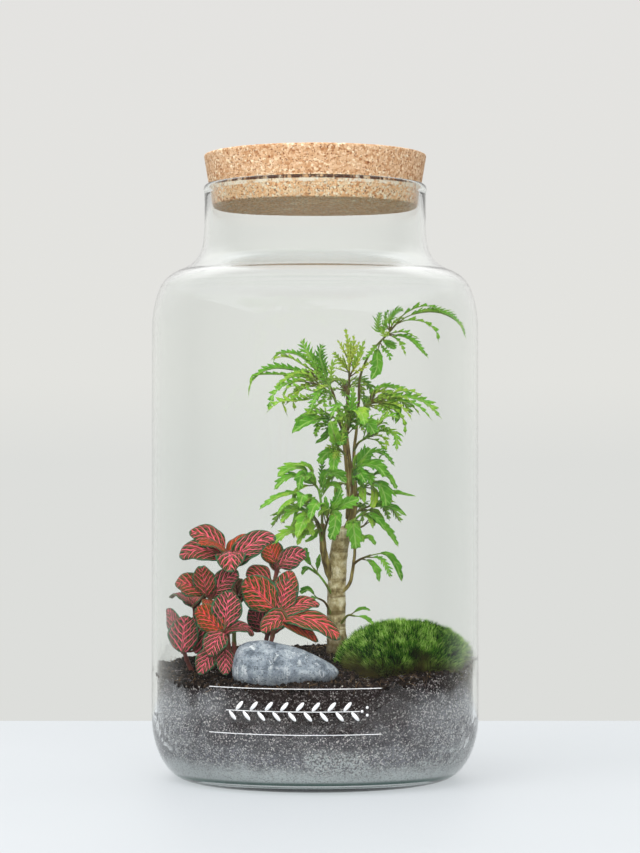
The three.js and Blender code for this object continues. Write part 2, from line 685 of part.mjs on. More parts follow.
// Sprays behind the tree are not in view. They follow the same habit: a stalk that leaves the
// wood away from the viewer, and three fronds that part from it and droop.
const BACK_SPRAYS = [
  { name: 'aralia_crown_back', root: [20, 11, 222], heading: 92, rise: 19, reach: 36 },
  { name: 'aralia_crown_back_right', root: [26, 15, 216], heading: 48, rise: 15, reach: 36 },
  { name: 'aralia_middle_back_left', root: [4.5, 3, 148], heading: 138, rise: 14, reach: 32 },
  { name: 'aralia_middle_back', root: [23.6, 9, 170], heading: 96, rise: 12, reach: 33 },
  { name: 'aralia_middle_back_right', root: [22, 8, 157], heading: 44, rise: 7, reach: 32 },
];

function turnedFrom([x, y, z], heading, out, rise) {
  const angle = THREE.MathUtils.degToRad(heading);
  return [x + out * Math.cos(angle), y + out * Math.sin(angle), z + rise];
}

function backSpray({ name, root, heading, rise, reach }) {
  const fork = turnedFrom(root, heading, reach * 0.34, rise);
  const fronds = [0, -46, 46].map((turn, i) => ({
    points: [
      turnedFrom(fork, heading + turn, reach * 0.3, 3),
      turnedFrom(fork, heading + turn, reach * 0.56, 1 - i),
      turnedFrom(fork, heading + turn, reach * 0.74, -8 - i),
    ],
    half: 5,
    teeth: 3,
    face: UP_BACK,
  }));
  return { name, stalk: [root, turnedFrom(root, heading, reach * 0.17, rise * 0.7), fork], fronds };
}

// The first frond ends the stalk; the others part from it one below another.
function spraySolid({ stalk, fronds }, grow = 0) {
  const curve = route(stalk);
  const stem = rod(stalk, () => STALK + grow, 4, 3);
  const blades = fronds.map((row, i) => {
    const root = curve.getPointAt(Math.max(0.3, 0.97 - (FROND_SPACING * i) / curve.getLength()));
    return frond({ ...row, points: [root.toArray(), ...row.points] }, grow);
  });
  return joined([stem, ...blades]);
}

// Fittonia shoots: a fleshy stem from the soil with its pairs of leaves. Each leaf is given by
// its foot and its tip, and rises or sags by arch between them.

const SHOOTS = [
  {
    name: 'fittonia_shoot_top',
    stem: [[-50, -22, 58], [-53, -28, 100], [-51, -34, 139]],
    leaves: [
      { from: [-52, -35, 139], to: [-75, -34, 151], half: 9, arch: 3, face: [0.1, -0.75, 0.65] },
      { from: [-52, -37, 138], to: [-69, -51, 144], half: 6, arch: 3, face: [0, -0.5, 0.86] },
      { from: [-56, -39, 138], to: [-80, -42, 136], half: 8.5, arch: 4, face: [-0.1, -0.8, 0.6] },
      { from: [-49, -31, 140], to: [-36, -18, 148], half: 7, arch: 2, face: [0, -0.5, 0.86] },
      { from: [-50, -38, 138], to: [-50, -58, 128], half: 9.5, arch: 4, face: [0, -0.6, 0.8] },
      { from: [-44, -39, 138.5], to: [-23, -44, 147.5], half: 8.5, arch: 3, face: [0, -0.85, 0.5] },
    ],
  },
  {
    name: 'fittonia_shoot_right_back',
    stem: [[-34, -16, 58], [-27, -17, 100], [-23, -19, 130]],
    leaves: [
      { from: [-23, -19, 130], to: [-29, -13, 145], half: 7.5, arch: 1, face: [-0.2, -0.9, 0.3] },
      { from: [-22, -20, 130], to: [-5, -24, 137], half: 7.5, arch: 2, face: [0, -0.9, 0.4] },
      { from: [-26, -21, 121], to: [-41, -28, 124], half: 8.5, arch: 2, face: [0, -0.8, 0.6] },
      { from: [-22, -17, 128], to: [-20, 3, 128], half: 7.5, arch: 5, face: [0, 0.5, 0.86] },
    ],
  },
  {
    name: 'fittonia_shoot_front_right',
    stem: [[-32, -34, 58], [-26, -40, 86], [-21, -45, 103]],
    leaves: [
      { from: [-22, -46, 103], to: [-43, -50, 122], half: 11, arch: 2, face: [-0.1, -0.95, 0.3] },
      { from: [-21, -45, 103], to: [-16, -42, 123], half: 8.5, arch: 1, face: [0.2, -0.97, 0.1] },
      { from: [-21, -43, 103], to: [-14, -33, 128], half: 8.5, arch: 2, face: [0, -0.9, 0.3] },
      { from: [-19, -45, 103], to: [3, -40, 108], half: 7.5, arch: 3, face: [0, -0.6, 0.8] },
      { from: [-17, -48, 100], to: [15, -54, 88], half: 8, arch: 5, face: [0.1, -0.7, 0.7] },
      { from: [-20, -46, 98], to: [2, -46, 86], half: 4.5, arch: 2, face: [0, -0.8, 0.6] },
      { from: [-21, -48, 100], to: [-31, -56, 92], half: 6.5, arch: 2, face: [0, -0.9, 0.4] },
    ],
  },
  {
    name: 'fittonia_shoot_front_left',
    stem: [[-52, -44, 58], [-54, -51, 82], [-54, -57, 94]],
    leaves: [
      { from: [-53, -59, 94], to: [-50, -58, 117], half: 9.5, arch: 1, face: [0, -1, 0.1] },
      { from: [-55, -59, 93], to: [-70, -57, 106], half: 8.5, arch: 2, face: [-0.3, -0.9, 0.4] },
      { from: [-54, -59, 92], to: [-61, -68, 79], half: 7.5, arch: 3, face: [-0.1, -0.9, 0.4] },
      { from: [-52, -56, 93], to: [-36, -45, 90], half: 6, arch: 4, face: [0, -0.6, 0.8] },
      { from: [-56, -56, 84], to: [-67, -65, 68], half: 7, arch: 3, face: [-0.3, -0.9, 0.3] },
      { from: [-53, -56, 82], to: [-52, -68, 68], half: 6, arch: 3, face: [0.1, -0.9, 0.3] },
    ],
  },
  {
    name: 'fittonia_shoot_left_high',
    stem: [[-60, -28, 58], [-63, -34, 94], [-62, -41, 116]],
    leaves: [
      { from: [-64, -43, 113], to: [-67, -51, 131], half: 7.5, arch: 2, face: [-0.2, -0.95, 0.2] },
      { from: [-65, -41, 114], to: [-83, -37, 120], half: 8, arch: 3, face: [-0.3, -0.8, 0.5] },
      { from: [-59, -43, 116], to: [-45, -49, 127], half: 7.5, arch: 2, face: [0, -0.9, 0.4] },
      { from: [-62, -43, 110], to: [-64, -56, 107], half: 4, arch: 2, face: [0, -0.6, 0.8] },
      { from: [-62, -38, 116], to: [-62, -20, 122], half: 7.5, arch: 3, face: [-0.2, 0.4, 0.9] },
    ],
  },
  {
    name: 'fittonia_shoot_left_low',
    stem: [[-70, -22, 58], [-76, -28, 72], [-79, -32, 82]],
    leaves: [
      { from: [-79, -34, 78], to: [-77, -33, 101], half: 10, arch: 1, face: [-0.3, -0.95, 0.1] },
      { from: [-72, -30, 80], to: [-68, -29, 102], half: 8.5, arch: 1, face: [-0.1, -0.95, 0.1] },
      { from: [-80, -28, 84], to: [-90, -14, 104], half: 6, arch: 2, face: [-0.7, -0.6, 0.3] },
    ],
  },
  {
    name: 'fittonia_shoot_back_left',
    stem: [[-66, -6, 58], [-72, -4, 84], [-74, -2, 104]],
    leaves: [
      { from: [-74, -2, 104], to: [-90, 4, 110], half: 7, arch: 4, face: [-0.6, 0.2, 0.8] },
      { from: [-74, 0, 104], to: [-76, 20, 106], half: 8, arch: 5, face: [-0.2, 0.5, 0.86] },
      { from: [-73, -2, 105], to: [-58, 4, 113], half: 7.5, arch: 3, face: [0.1, 0.3, 0.95] },
      { from: [-73, -4, 95], to: [-86, -12, 90], half: 6.5, arch: 3, face: [-0.6, -0.2, 0.8] },
    ],
  },
  {
    name: 'fittonia_shoot_back',
    stem: [[-48, 2, 58], [-50, 8, 86], [-48, 12, 110]],
    leaves: [
      { from: [-48, 12, 110], to: [-48, 32, 114], half: 8.5, arch: 5, face: [0, 0.6, 0.8] },
      { from: [-47, 11, 110], to: [-31, 10, 118], half: 7.5, arch: 3, face: [0.2, 0.1, 0.95] },
      { from: [-49, 13, 109], to: [-64, 24, 108], half: 7.5, arch: 4, face: [-0.2, 0.6, 0.8] },
      { from: [-51, 11, 98], to: [-60, 25, 93], half: 8, arch: 4, face: [-0.3, 0.6, 0.75] },
      { from: [-48, 11, 111], to: [-50, -6, 122], half: 7.5, arch: 3, face: [0, -0.3, 0.95] },
    ],
  },
  {
    name: 'fittonia_shoot_back_low',
    stem: [[-36, 12, 58], [-32, 20, 74], [-30, 26, 86]],
    leaves: [
      { from: [-30, 26, 86], to: [-26, 45, 86], half: 7.5, arch: 5, face: [0, 0.6, 0.8] },
      { from: [-31, 24, 87], to: [-40, 12, 103], half: 8, arch: 1, face: [0, -0.9, 0.3] },
      { from: [-28, 23, 88], to: [-23, 13, 104], half: 7.5, arch: 1, face: [0, -0.9, 0.3] },
    ],
  },
];
const SHOOT_STEM = 1.5;
const LEAF_SPACING = 2.6;

function leafRoute({ from, to, arch }) {
  const rise = (share, lift) => from.map((value, i) => (
    value + (to[i] - value) * share + (i === 2 ? lift * arch : 0)
  ));
  return [from, rise(0.35, 0.8), rise(0.7, 0.9), to];
}

function shootSolid({ stem, leaves }, grow = 0) {
  const stalk = rod(stem, (u) => SHOOT_STEM - 0.3 * u + grow, 4, 2);
  const curve = route(stem);
  const blades = leaves.map((row, i) => {
    const foot = curve.getPointAt(0.98 - (LEAF_SPACING * i) / curve.getLength());
    return ovalLeaf({ ...row, points: [foot.toArray(), ...leafRoute(row)] }, grow);
  });
  return joined([stalk, ...blades]);
}

// The whole part. Each plant node keeps clear of what was placed before it.

const part = new THREE.Group();
part.add(meshOf('glass_jar', jarGeometry(), 'glass'));
part.add(meshOf('cork_stopper', corkGeometry(), 'cork'));
part.add(meshOf('cobble', geometryOf(cobbleSolid()), 'cobble'));

part.add(meshOf('moss_cushion', geometryOf(mossSolid()), 'moss'));
part.add(meshOf('aralia_trunk', geometryOf(barkSolid()), 'bark'));

const mossRoom = mossSolid(0, GAP + MOSS_TUFT);
const taken = [barkSolid(GAP), cobbleSolid(GAP), mossRoom];

function addPlantNode(name, solid, roomAround, finish) {
  const clear = mainBody(taken.reduce((rest, other) => rest.subtract(other), solid));
  part.add(meshOf(name, geometryOf(clear), finish));
  taken.push(roomAround);
}

for (const row of [...SPRAYS, ...BACK_SPRAYS.map(backSpray)]) {
  addPlantNode(row.name, spraySolid(row), spraySolid(row, GAP), 'aralia');
}
for (const row of SHOOTS) {
  addPlantNode(row.name, shootSolid(row), shootSolid(row, GAP), 'fittonia');
}

const soil = mainBody(taken.reduce((rest, other) => rest.subtract(other), soilSolid()));
part.add(meshOf('potting_soil', geometryOf(soil), 'soil'));

export default part;
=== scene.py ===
# A closed plant terrarium: a clear glass jar with a cork stopper, and in it potting soil, a
# cobble, a moss cushion, a small aralia tree with cut leaves and a fittonia with veined leaves.
# Metres, +Z up, origin at the centre of the jar's foot; the viewer stands on the -Y side.

import math
import random

import bpy
from mathutils import Matrix, Vector, noise


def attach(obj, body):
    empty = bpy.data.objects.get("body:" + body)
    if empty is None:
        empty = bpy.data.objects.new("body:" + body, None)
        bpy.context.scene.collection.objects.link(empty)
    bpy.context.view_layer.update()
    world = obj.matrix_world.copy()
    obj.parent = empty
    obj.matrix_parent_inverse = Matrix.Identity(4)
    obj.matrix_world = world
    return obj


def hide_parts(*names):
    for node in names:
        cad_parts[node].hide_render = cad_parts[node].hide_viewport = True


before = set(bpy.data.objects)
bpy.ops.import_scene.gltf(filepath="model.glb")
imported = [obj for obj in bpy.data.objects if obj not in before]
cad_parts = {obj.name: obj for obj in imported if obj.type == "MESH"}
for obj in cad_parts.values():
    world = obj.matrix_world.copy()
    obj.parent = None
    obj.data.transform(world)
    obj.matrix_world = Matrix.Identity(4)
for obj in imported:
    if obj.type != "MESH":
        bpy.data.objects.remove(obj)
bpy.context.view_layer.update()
scene = bpy.context.scene
MM = 0.001


# Camera: level, a little above half the jar's height, 1.62 m in front of its axis.

camera_data = bpy.data.cameras.new("camera")
camera_data.sensor_fit = "VERTICAL"
camera_data.sensor_height = 36
camera_data.lens = 111.4
camera = bpy.data.objects.new("camera", camera_data)
camera.location = (0.003, -1.62, 0.193)
camera.rotation_euler = (math.radians(90) + math.atan2(21.8, 1620), 0, 0)
scene.collection.objects.link(camera)
scene.camera = camera
scene.view_settings.view_transform = "Standard"


# Table: a pale board lit evenly from inside, as a photographer's light table is, its far edge
# 36 cm behind the jar and rounded. It is a stage and no part of the terrarium.

TABLE_FRONT, TABLE_BACK, TABLE_SIDE, TABLE_DEPTH = -0.42, 0.363, 0.55, 0.04
TABLE_ROUNDING = 0.012


def paint(hex_colour, alpha=1.0):
    """An sRGB hex colour in the linear values that shaders use."""
    channels = [int(hex_colour[i:i + 2], 16) / 255 for i in (0, 2, 4)]
    return tuple(c / 12.92 if c <= 0.04045 else ((c + 0.055) / 1.055) ** 2.4
                 for c in channels) + (alpha,)


def socket(sockets, key):
    """A socket by its number, its identifier, or its name with _ for each space."""
    if isinstance(key, int):
        return sockets[key]
    for one in sockets:
        if one.identifier == key:
            return one
    return sockets[key.replace("_", " ")]


def fit(tree, node, *sources, **settings):
    """Sets a node and links it. settings are the node's own, the stops of a ramp of colours, or
    its sockets by name; sources fill its first sockets in order. A socket takes a number, a
    vector, a hex colour, or the socket or node that it is linked from."""
    values = dict(enumerate(sources))
    for key, value in settings.items():
        if key == "stops":
            elements = node.color_ramp.elements
            while len(elements) < len(value):
                elements.new(1.0)
            for element, (spot, colour) in zip(elements, value):
                element.position, element.color = spot, paint(colour)
        elif hasattr(node, key):
            setattr(node, key, value)
        else:
            values[key] = value
    for key, value in values.items():
        into = socket(node.inputs, key)
        if isinstance(value, bpy.types.Node):
            value = next(one for one in value.outputs if one.enabled)
        if isinstance(value, bpy.types.NodeSocket):
            tree.links.new(value, into)
        else:
            into.default_value = paint(value) if into.type == "RGBA" else value
    return node


def add(tree, kind, *sources, **settings):
    """A new node with its settings and links. A shader node's kind goes without its prefix."""
    full_kind = kind if "Node" in kind else "ShaderNode" + kind
    return fit(tree, tree.nodes.new(full_kind), *sources, **settings)


def new_finish(name):
    """A material with one Principled shader; gives the material, its tree, the shader and
    the object's own coordinates."""
    material = bpy.data.materials.new(name)
    material.use_nodes = True
    tree = material.node_tree
    shader = tree.nodes["Principled BSDF"]
    place = add(tree, "TexCoord").outputs["Object"]
    return material, tree, shader, place


def mesh_piece(name, points, faces, materials, smooth=True):
    """An object at the origin with its place in its mesh."""
    mesh = bpy.data.meshes.new(name)
    mesh.from_pydata(points, [], faces)
    for material in materials:
        mesh.materials.append(material)
    mesh.validate()
    if smooth:
        mesh.shade_smooth()
    piece = bpy.data.objects.new(name, mesh)
    scene.collection.objects.link(piece)
    return piece


lacquer, tree, shader, place = new_finish("table_matt_lacquer")
# Matt white acrylic: an even pale glow with a faint broad unevenness, and only weak shadows.
cloud = add(tree, "TexNoise", Scale=3.0, Detail=2.0, Vector=place)
fit(tree, shader, Base_Color=add(tree, "ValToRGB", cloud, stops=[(0.3, "808386"), (0.7, "84878a")]),
    Roughness=0.55, Emission_Color="e9eef1", Emission_Strength=0.5)

table_profile = [(TABLE_FRONT, 0), (TABLE_BACK - TABLE_ROUNDING, 0)]
for step in range(1, 9):
    angle = math.radians(90 * step / 8)
    table_profile.append((TABLE_BACK - TABLE_ROUNDING * (1 - math.sin(angle)),
                          -TABLE_ROUNDING * (1 - math.cos(angle))))
table_profile += [(TABLE_BACK, -TABLE_DEPTH), (TABLE_FRONT, -TABLE_DEPTH)]
table_points = [(side, y, z) for y, z in table_profile for side in (-TABLE_SIDE, TABLE_SIDE)]
count = len(table_profile)
table_faces = [(2 * i, 2 * i + 1, (2 * i + 3) % (2 * count), (2 * i + 2) % (2 * count))
               for i in range(count)]
table = mesh_piece("table", table_points, table_faces, [lacquer], smooth=False)


# Studio light: an even pale room, darker at both sides so that the glass shows its edges. What
# the glass mirrors from the viewer's side of the room is dim, and two broad soft lamps, one
# above on the left, are not mirrored at all.

world = bpy.data.worlds.new("studio_room")
scene.world = world
world.use_nodes = True
tree = world.node_tree
tree.nodes.clear()
direction = add(tree, "SeparateXYZ", Vector=add(tree, "TexCoord").outputs["Generated"])
sideways = add(tree, "Math", direction.outputs["X"], operation="ABSOLUTE")
wall_tone = add(tree, "ValToRGB", direction.outputs["Z"],
    stops=[(0.0, "dddedb"), (0.03, "e3e3df"), (0.2, "e4e3e1"), (1.0, "ffffff")])
dim = add(tree, "MapRange", sideways, 0.45, 0.95, 1.0, 0.55, interpolation_type="SMOOTHSTEP")
lift = add(tree, "MapRange", direction.outputs["Z"], 0.25, 0.9, 1.0, 1.5,
    interpolation_type="SMOOTHSTEP")
ray = add(tree, "LightPath")
straight = add(tree, "Math", 1.0, ray.outputs["Diffuse Depth"], operation="SUBTRACT",
    use_clamp=True)
mirrored = add(tree, "Math", ray.outputs["Glossy Depth"], straight, operation="MULTIPLY",
    use_clamp=True)
before = add(tree, "MapRange", direction.outputs["Y"], 0.55, 0.1, 0.0, 0.85,
    interpolation_type="SMOOTHSTEP")
mirror_dim = add(tree, "Math", 1.0, add(tree, "Math", mirrored, before, operation="MULTIPLY"),
    operation="SUBTRACT")
mirror_dim = add(tree, "Math", mirror_dim,
    add(tree, "Math", ray.outputs["Is Transmission Ray"], 0.13, operation="MULTIPLY"),
    operation="ADD")
strength = add(tree, "Math", add(tree, "Math", dim, lift, operation="MULTIPLY"), mirror_dim,
    operation="MULTIPLY")
glow = add(tree, "Background", Color=wall_tone, Strength=strength)
add(tree, "OutputWorld", Surface=glow.outputs["Background"])


def lamp(name, spot, target, size, power):
    """A square soft lamp that points at a target."""
    data = bpy.data.lights.new(name, "AREA")
    data.size = size
    data.energy = power
    one = bpy.data.objects.new(name, data)
    one.location = spot
    one.rotation_euler = (Vector(target) - Vector(spot)).to_track_quat("-Z", "Y").to_euler()
    one.visible_glossy = False
    one.visible_transmission = False
    scene.collection.objects.link(one)


lamp("lamp_above", (-0.55, -0.55, 1.35), (0, 0, 0.15), 0.9, 14)
lamp("lamp_front", (0.35, -1.7, 0.7), (0, 0, 0.1), 1.1, 15)


# Glass jar: one blown and pressed soda-lime jar, straight sides, a rounded foot, a flat
# shoulder and a wide neck with a fire-polished rim. Walls 3 mm, bottom about 6 mm.

JAR_RADIUS, JAR_WALL, JAR_FLOOR = 100, 3, 6
JAR_TURNS = 320
FOOT_RADIUS, CORNER_HEIGHT = 77, 38
# Inside, the glass follows the outer wall from WALL_FROM to WALL_TO, thinner above NECK_FROM,
# and ends in a wider corner: its centre's radius and height, then its breadth and depth.
WALL_FROM, WALL_TO, NECK_FROM, NECK_WALL = 45, 356.5, 300, 2.75
INNER_CORNER_RADIUS, INNER_CORNER_HEIGHT = 75, 40
INNER_CORNER_BREADTH, INNER_CORNER_DEPTH = 22, 34
FOOT = [(0, 1.8), (30, 1.7), (50, 1.2), (64, 0.5), (72, 0.1)]
SHOULDER = [(100, 268), (99.7, 280), (98.3, 290), (95.4, 299), (92, 304.4), (87.3, 308.2),
            (80.8, 311.4), (75.6, 314.6), (72.2, 318.2), (69.6, 323.6), (68.4, 330)]
NECK = [(67.9, 338), (67.9, 356), (68.1, 357.2), (68.35, 358.6), (68.45, 360), (68.3, 361.3),
        (67.9, 362.2), (67.3, 362.7), (66.5, 362.9)]
MOUTH = [(65.6, 362.5), (65.2, 361.4), (65.15, 358)]


class Route:
    """A smooth curve through a few points in mm, read in metres by its share of length."""

    def __init__(self, points, steps=20):
        spots = [Vector(p) * MM for p in points]
        padded = [2 * spots[0] - spots[1], *spots, 2 * spots[-1] - spots[-2]]
        self.places = []
        for a, b, c, d in zip(padded, padded[1:], padded[2:], padded[3:]):
            start, end = (c - a) / 2, (d - b) / 2
            for k in range(steps):
                t = k / steps
                self.places.append(b * (2 * t ** 3 - 3 * t ** 2 + 1)
                                   + start * (t ** 3 - 2 * t ** 2 + t)
                                   + c * (3 * t ** 2 - 2 * t ** 3) + end * (t ** 3 - t ** 2))
        self.places.append(spots[-1].copy())
        self.run = [0.0]
        for a, b in zip(self.places, self.places[1:]):
            self.run.append(self.run[-1] + (b - a).length)
        self.length = self.run[-1]

    def span(self, u):
        goal = min(max(u, 0.0), 1.0) * self.length
        low, high = 0, len(self.run) - 1
        while high - low > 1:
            middle = (low + high) // 2
            if self.run[middle] <= goal:
                low = middle
            else:
                high = middle
        return low, (goal - self.run[low]) / max(self.run[high] - self.run[low], 1e-9)

    def at(self, u):
        i, t = self.span(u)
        spot = self.places[i].lerp(self.places[i + 1], t)
        return spot + self.along(1.0) * (u - 1.0) * self.length if u > 1 else spot

    def along(self, u):
        step = 0.02
        low, high = max(0.0, min(u, 1.0) - step), min(1.0, max(u, 0.0) + step)
        i, t = self.span(low)
        j, s = self.span(high)
        return (self.places[j].lerp(self.places[j + 1], s)
                - self.places[i].lerp(self.places[i + 1], t)).normalized()


def jar_outline():
    """The jar's outer outline and its inner one, as (radius, height) in mm."""
    outer = list(FOOT)
    for step in range(15):
        angle = math.radians(90 * step / 14)
        outer.append((FOOT_RADIUS + (JAR_RADIUS - FOOT_RADIUS) * math.sin(angle),
                      CORNER_HEIGHT * (1 - math.cos(angle))))
    outer += [(JAR_RADIUS, CORNER_HEIGHT + 23 * k) for k in range(1, 10)]
    bend = Route([(r, 0, z) for r, z in SHOULDER])
    for step in range(45):
        spot = bend.at(step / 44) / MM
        outer.append((spot.x, spot.z))
    outer += NECK
    inner = []
    wall = [p for p in outer if WALL_FROM < p[1] < WALL_TO]
    for before, here, after in zip(wall, wall[1:], wall[2:]):
        along = Vector((after[0] - before[0], after[1] - before[1])).normalized()
        thick = JAR_WALL if here[1] < NECK_FROM else NECK_WALL
        inner.append((here[0] - along.y * thick, here[1] + along.x * thick))
    inner.reverse()
    for step in range(13):
        angle = math.radians(90 * step / 12)
        inner.append((INNER_CORNER_RADIUS + INNER_CORNER_BREADTH * math.cos(angle),
                      INNER_CORNER_HEIGHT - INNER_CORNER_DEPTH * math.sin(angle)))
    inner += [(50, JAR_FLOOR), (20, JAR_FLOOR), (0, JAR_FLOOR)]
    return outer + MOUTH + inner


def new_group(name, result, **inputs):
    """Geometry Nodes: an empty tree with named inputs and one resulting shape; gives the tree
    and the node of its inputs."""
    nodes = bpy.data.node_groups.new(name, "GeometryNodeTree")
    for label, kind in inputs.items():
        nodes.interface.new_socket(label, in_out="INPUT", socket_type="NodeSocket" + kind)
    nodes.interface.new_socket(result, in_out="OUTPUT", socket_type="NodeSocketGeometry")
    return nodes, add(nodes, "NodeGroupInput")


def turned_tree(name):
    """Geometry Nodes: an outline turned round the Z axis into a closed shell."""
    nodes, given = new_group(name, "Shell", Outline="Geometry", Turns="Int", Finish="Material")
    outline = add(nodes, "GeometryNodeMeshToCurve", Mesh=given.outputs["Outline"])
    ring = add(nodes, "GeometryNodeCurvePrimitiveCircle", Radius=1.0,
        Resolution=given.outputs["Turns"])
    upright = add(nodes, "GeometryNodeSetCurveNormal", mode="Z_UP", Curve=ring.outputs["Curve"])
    turned = add(nodes, "GeometryNodeCurveToMesh", Fill_Caps=False, Curve=upright.outputs["Curve"],
        Profile_Curve=outline.outputs["Curve"])
    closed = add(nodes, "GeometryNodeMergeByDistance", Distance=0.00001,
        Geometry=turned.outputs["Mesh"])
    outwards = add(nodes, "GeometryNodeFlipFaces", Mesh=closed.outputs["Geometry"])
    smooth = add(nodes, "GeometryNodeSetShadeSmooth", Geometry=outwards.outputs["Mesh"])
    finish = add(nodes, "GeometryNodeSetMaterial", Geometry=smooth.outputs["Geometry"],
        Material=given.outputs["Finish"])
    add(nodes, "NodeGroupOutput", Shell=finish.outputs["Geometry"])
    return nodes


def grown(piece, nodes, inputs):
    """Puts a node tree on a piece, sets its inputs, and keeps the result as a plain mesh."""
    modifier = piece.modifiers.new("grown", "NODES")
    modifier.node_group = nodes
    for item in nodes.interface.items_tree:
        if item.item_type == "SOCKET" and item.in_out == "INPUT" and item.name in inputs:
            modifier[item.identifier] = inputs[item.name]
    return settled(piece)


def settled(piece):
    """The piece with its modifiers worked into its mesh."""
    evaluated = piece.evaluated_get(bpy.context.evaluated_depsgraph_get())
    mesh = bpy.data.meshes.new_from_object(evaluated)
    piece.modifiers.clear()
    piece.data = mesh
    mesh.name = piece.name
    return piece


def turned_piece(name, outline, turns, finish):
    """A shell turned from an outline of (radius, height) in mm, its faces set outwards."""
    points = [Vector(((r - 1000) * MM, -z * MM, 0)) for r, z in outline]
    mesh = bpy.data.meshes.new(name)
    mesh.from_pydata(points, [(i, i + 1) for i in range(len(points) - 1)], [])
    piece = bpy.data.objects.new(name, mesh)
    scene.collection.objects.link(piece)
    return grown(piece, TURNED, {"Turns": turns, "Finish": finish})


TURNED = turned_tree("turned_shell")

clear_glass = bpy.data.materials.new("soda_lime_glass")
# Clear soda-lime glass, fire polished: sharp reflections, a faint grey-green body that only
# shows where the glass is thick. Light for the plants passes straight through it.
clear_glass.use_nodes = True
tree = clear_glass.node_tree
shader = tree.nodes["Principled BSDF"]
fit(tree, shader, Base_Color="fdfefd", Roughness=0.0, IOR=1.5, Transmission_Weight=1.0)
passing = add(tree, "BsdfTransparent", Color="fbfcfb")
shadow_ray = add(tree, "LightPath").outputs["Is Shadow Ray"]
either = add(tree, "MixShader", shadow_ray, shader.outputs["BSDF"], passing.outputs["BSDF"])
tree.links.new(either.outputs[0], tree.nodes["Material Output"].inputs["Surface"])
body = add(tree, "VolumeAbsorption", Color="8fb8b2", Density=6.5)
tree.links.new(body.outputs["Volume"], tree.nodes["Material Output"].inputs["Volume"])

jar = turned_piece("jar_of_clear_glass", jar_outline(), JAR_TURNS, clear_glass)
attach(jar, "root")
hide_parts("glass_jar")


# Cork stopper: one tapered disc cut from a block of agglomerated cork, granules of 1 to 3 mm
# pressed with a binder. Its narrow end sits in the neck by its own weight.

CORK_BOTTOM, CORK_TOP = 349.8, 381.3
CORK_BOTTOM_RADIUS, CORK_TOP_RADIUS, CORK_EDGE, CORK_BREAK = 63.2, 68.2, 0.9, 0.25
CORK_TURNS = 300
# Heights in metres between which the painted light and the painted shade and glint lines on the
# cork's side come or go.
PAINTED_LIGHT_BELOW = (0.3645, 0.3625)
RIM_SHADE_LOW, RIM_SHADE_HIGH, RIM_GLINT_LOW = (0.3604, 0.3608), (0.3626, 0.362), (0.3588, 0.3592)

cork, tree, shader, place = new_finish("agglomerated_cork")
# Agglomerated cork: tan granules with cream, orange and dark bark flecks, quite matt, with
# small open pores between the granules. Below the rim, inside the neck and underneath, it is
# painted paler, a painted light for the light that the glass and the shade there keep from it.
# Round it under the glass rim runs a painted dark shade line, with painted pale glints under it.
granule = add(tree, "TexVoronoi", Scale=700.0, Randomness=1.0, Vector=place)
tone = add(tree, "SeparateColor", Color=granule.outputs["Color"])
colour = add(tree, "ValToRGB", tone.outputs["Red"],
    stops=[(0.0, "a86f45"), (0.1, "c69468"), (0.3, "d9b088"), (0.55, "e2bd97"), (0.8, "eccba8"),
        (0.93, "f7deb9"), (1.0, "fae9cb")])
apart = add(tree, "SeparateXYZ", Vector=place)
# Painted light: below the rim the cork is painted paler, for the light that the glass and the shade
# in the neck keep from it.
painted_light_colour = add(tree, "ValToRGB", tone.outputs["Red"],
    stops=[(0.0, "cf8f5c"), (0.1, "ecb482"), (0.3, "ffcf9d"), (0.55, "ffdcb0"), (0.8, "ffe6c2"),
        (0.93, "fff2d8"), (1.0, "fff8e6")])
painted_light_mask = add(tree, "MapRange", apart.outputs["Z"], *PAINTED_LIGHT_BELOW,
    interpolation_type="SMOOTHSTEP")
colour = add(tree, "Mix", painted_light_mask, A_Color=colour, B_Color=painted_light_colour, data_type="RGBA")
blotch = add(tree, "TexNoise", Scale=60.0, Detail=3.0, Vector=place)
colour = add(tree, "Mix",
    add(tree, "MapRange", blotch, 0.35, 0.7, 0.0, 0.35, interpolation_type="SMOOTHSTEP"),
    A_Color=colour, B_Color="cf9f74", data_type="RGBA")
fleck = add(tree, "TexNoise", Scale=1000.0, Detail=1.0, Vector=place)
colour = add(tree, "Mix", add(tree, "MapRange", fleck, 0.62, 0.68, interpolation_type="SMOOTHSTEP"),
    A_Color=colour, B_Color="7d4528", data_type="RGBA")
pore = add(tree, "TexVoronoi", feature="DISTANCE_TO_EDGE", Scale=700.0, Vector=place)
seam = add(tree, "MapRange", pore, 0.0, 0.09, 0.45, 0.0, interpolation_type="SMOOTHSTEP")
colour = add(tree, "Mix", seam, A_Color=colour, B_Color="b07e55", data_type="RGBA")
around = add(tree, "TexNoise", Scale=240.0, Detail=4.0, Roughness=0.7, Vector=place)
# Painted shade: a dark broken line round the cork just under the glass rim.
above = add(tree, "MapRange", apart.outputs["Z"], *RIM_SHADE_LOW, interpolation_type="SMOOTHSTEP")
rim_shade = add(tree, "Math", above,
    add(tree, "MapRange", apart.outputs["Z"], *RIM_SHADE_HIGH, interpolation_type="SMOOTHSTEP"),
    operation="MULTIPLY")
colour = add(tree, "Mix",
    add(tree, "Math", rim_shade,
        add(tree, "MapRange", around, 0.6, 0.5, 0.15, 0.95, interpolation_type="SMOOTHSTEP"),
        operation="MULTIPLY"), A_Color=colour, B_Color="4a2113", data_type="RGBA")
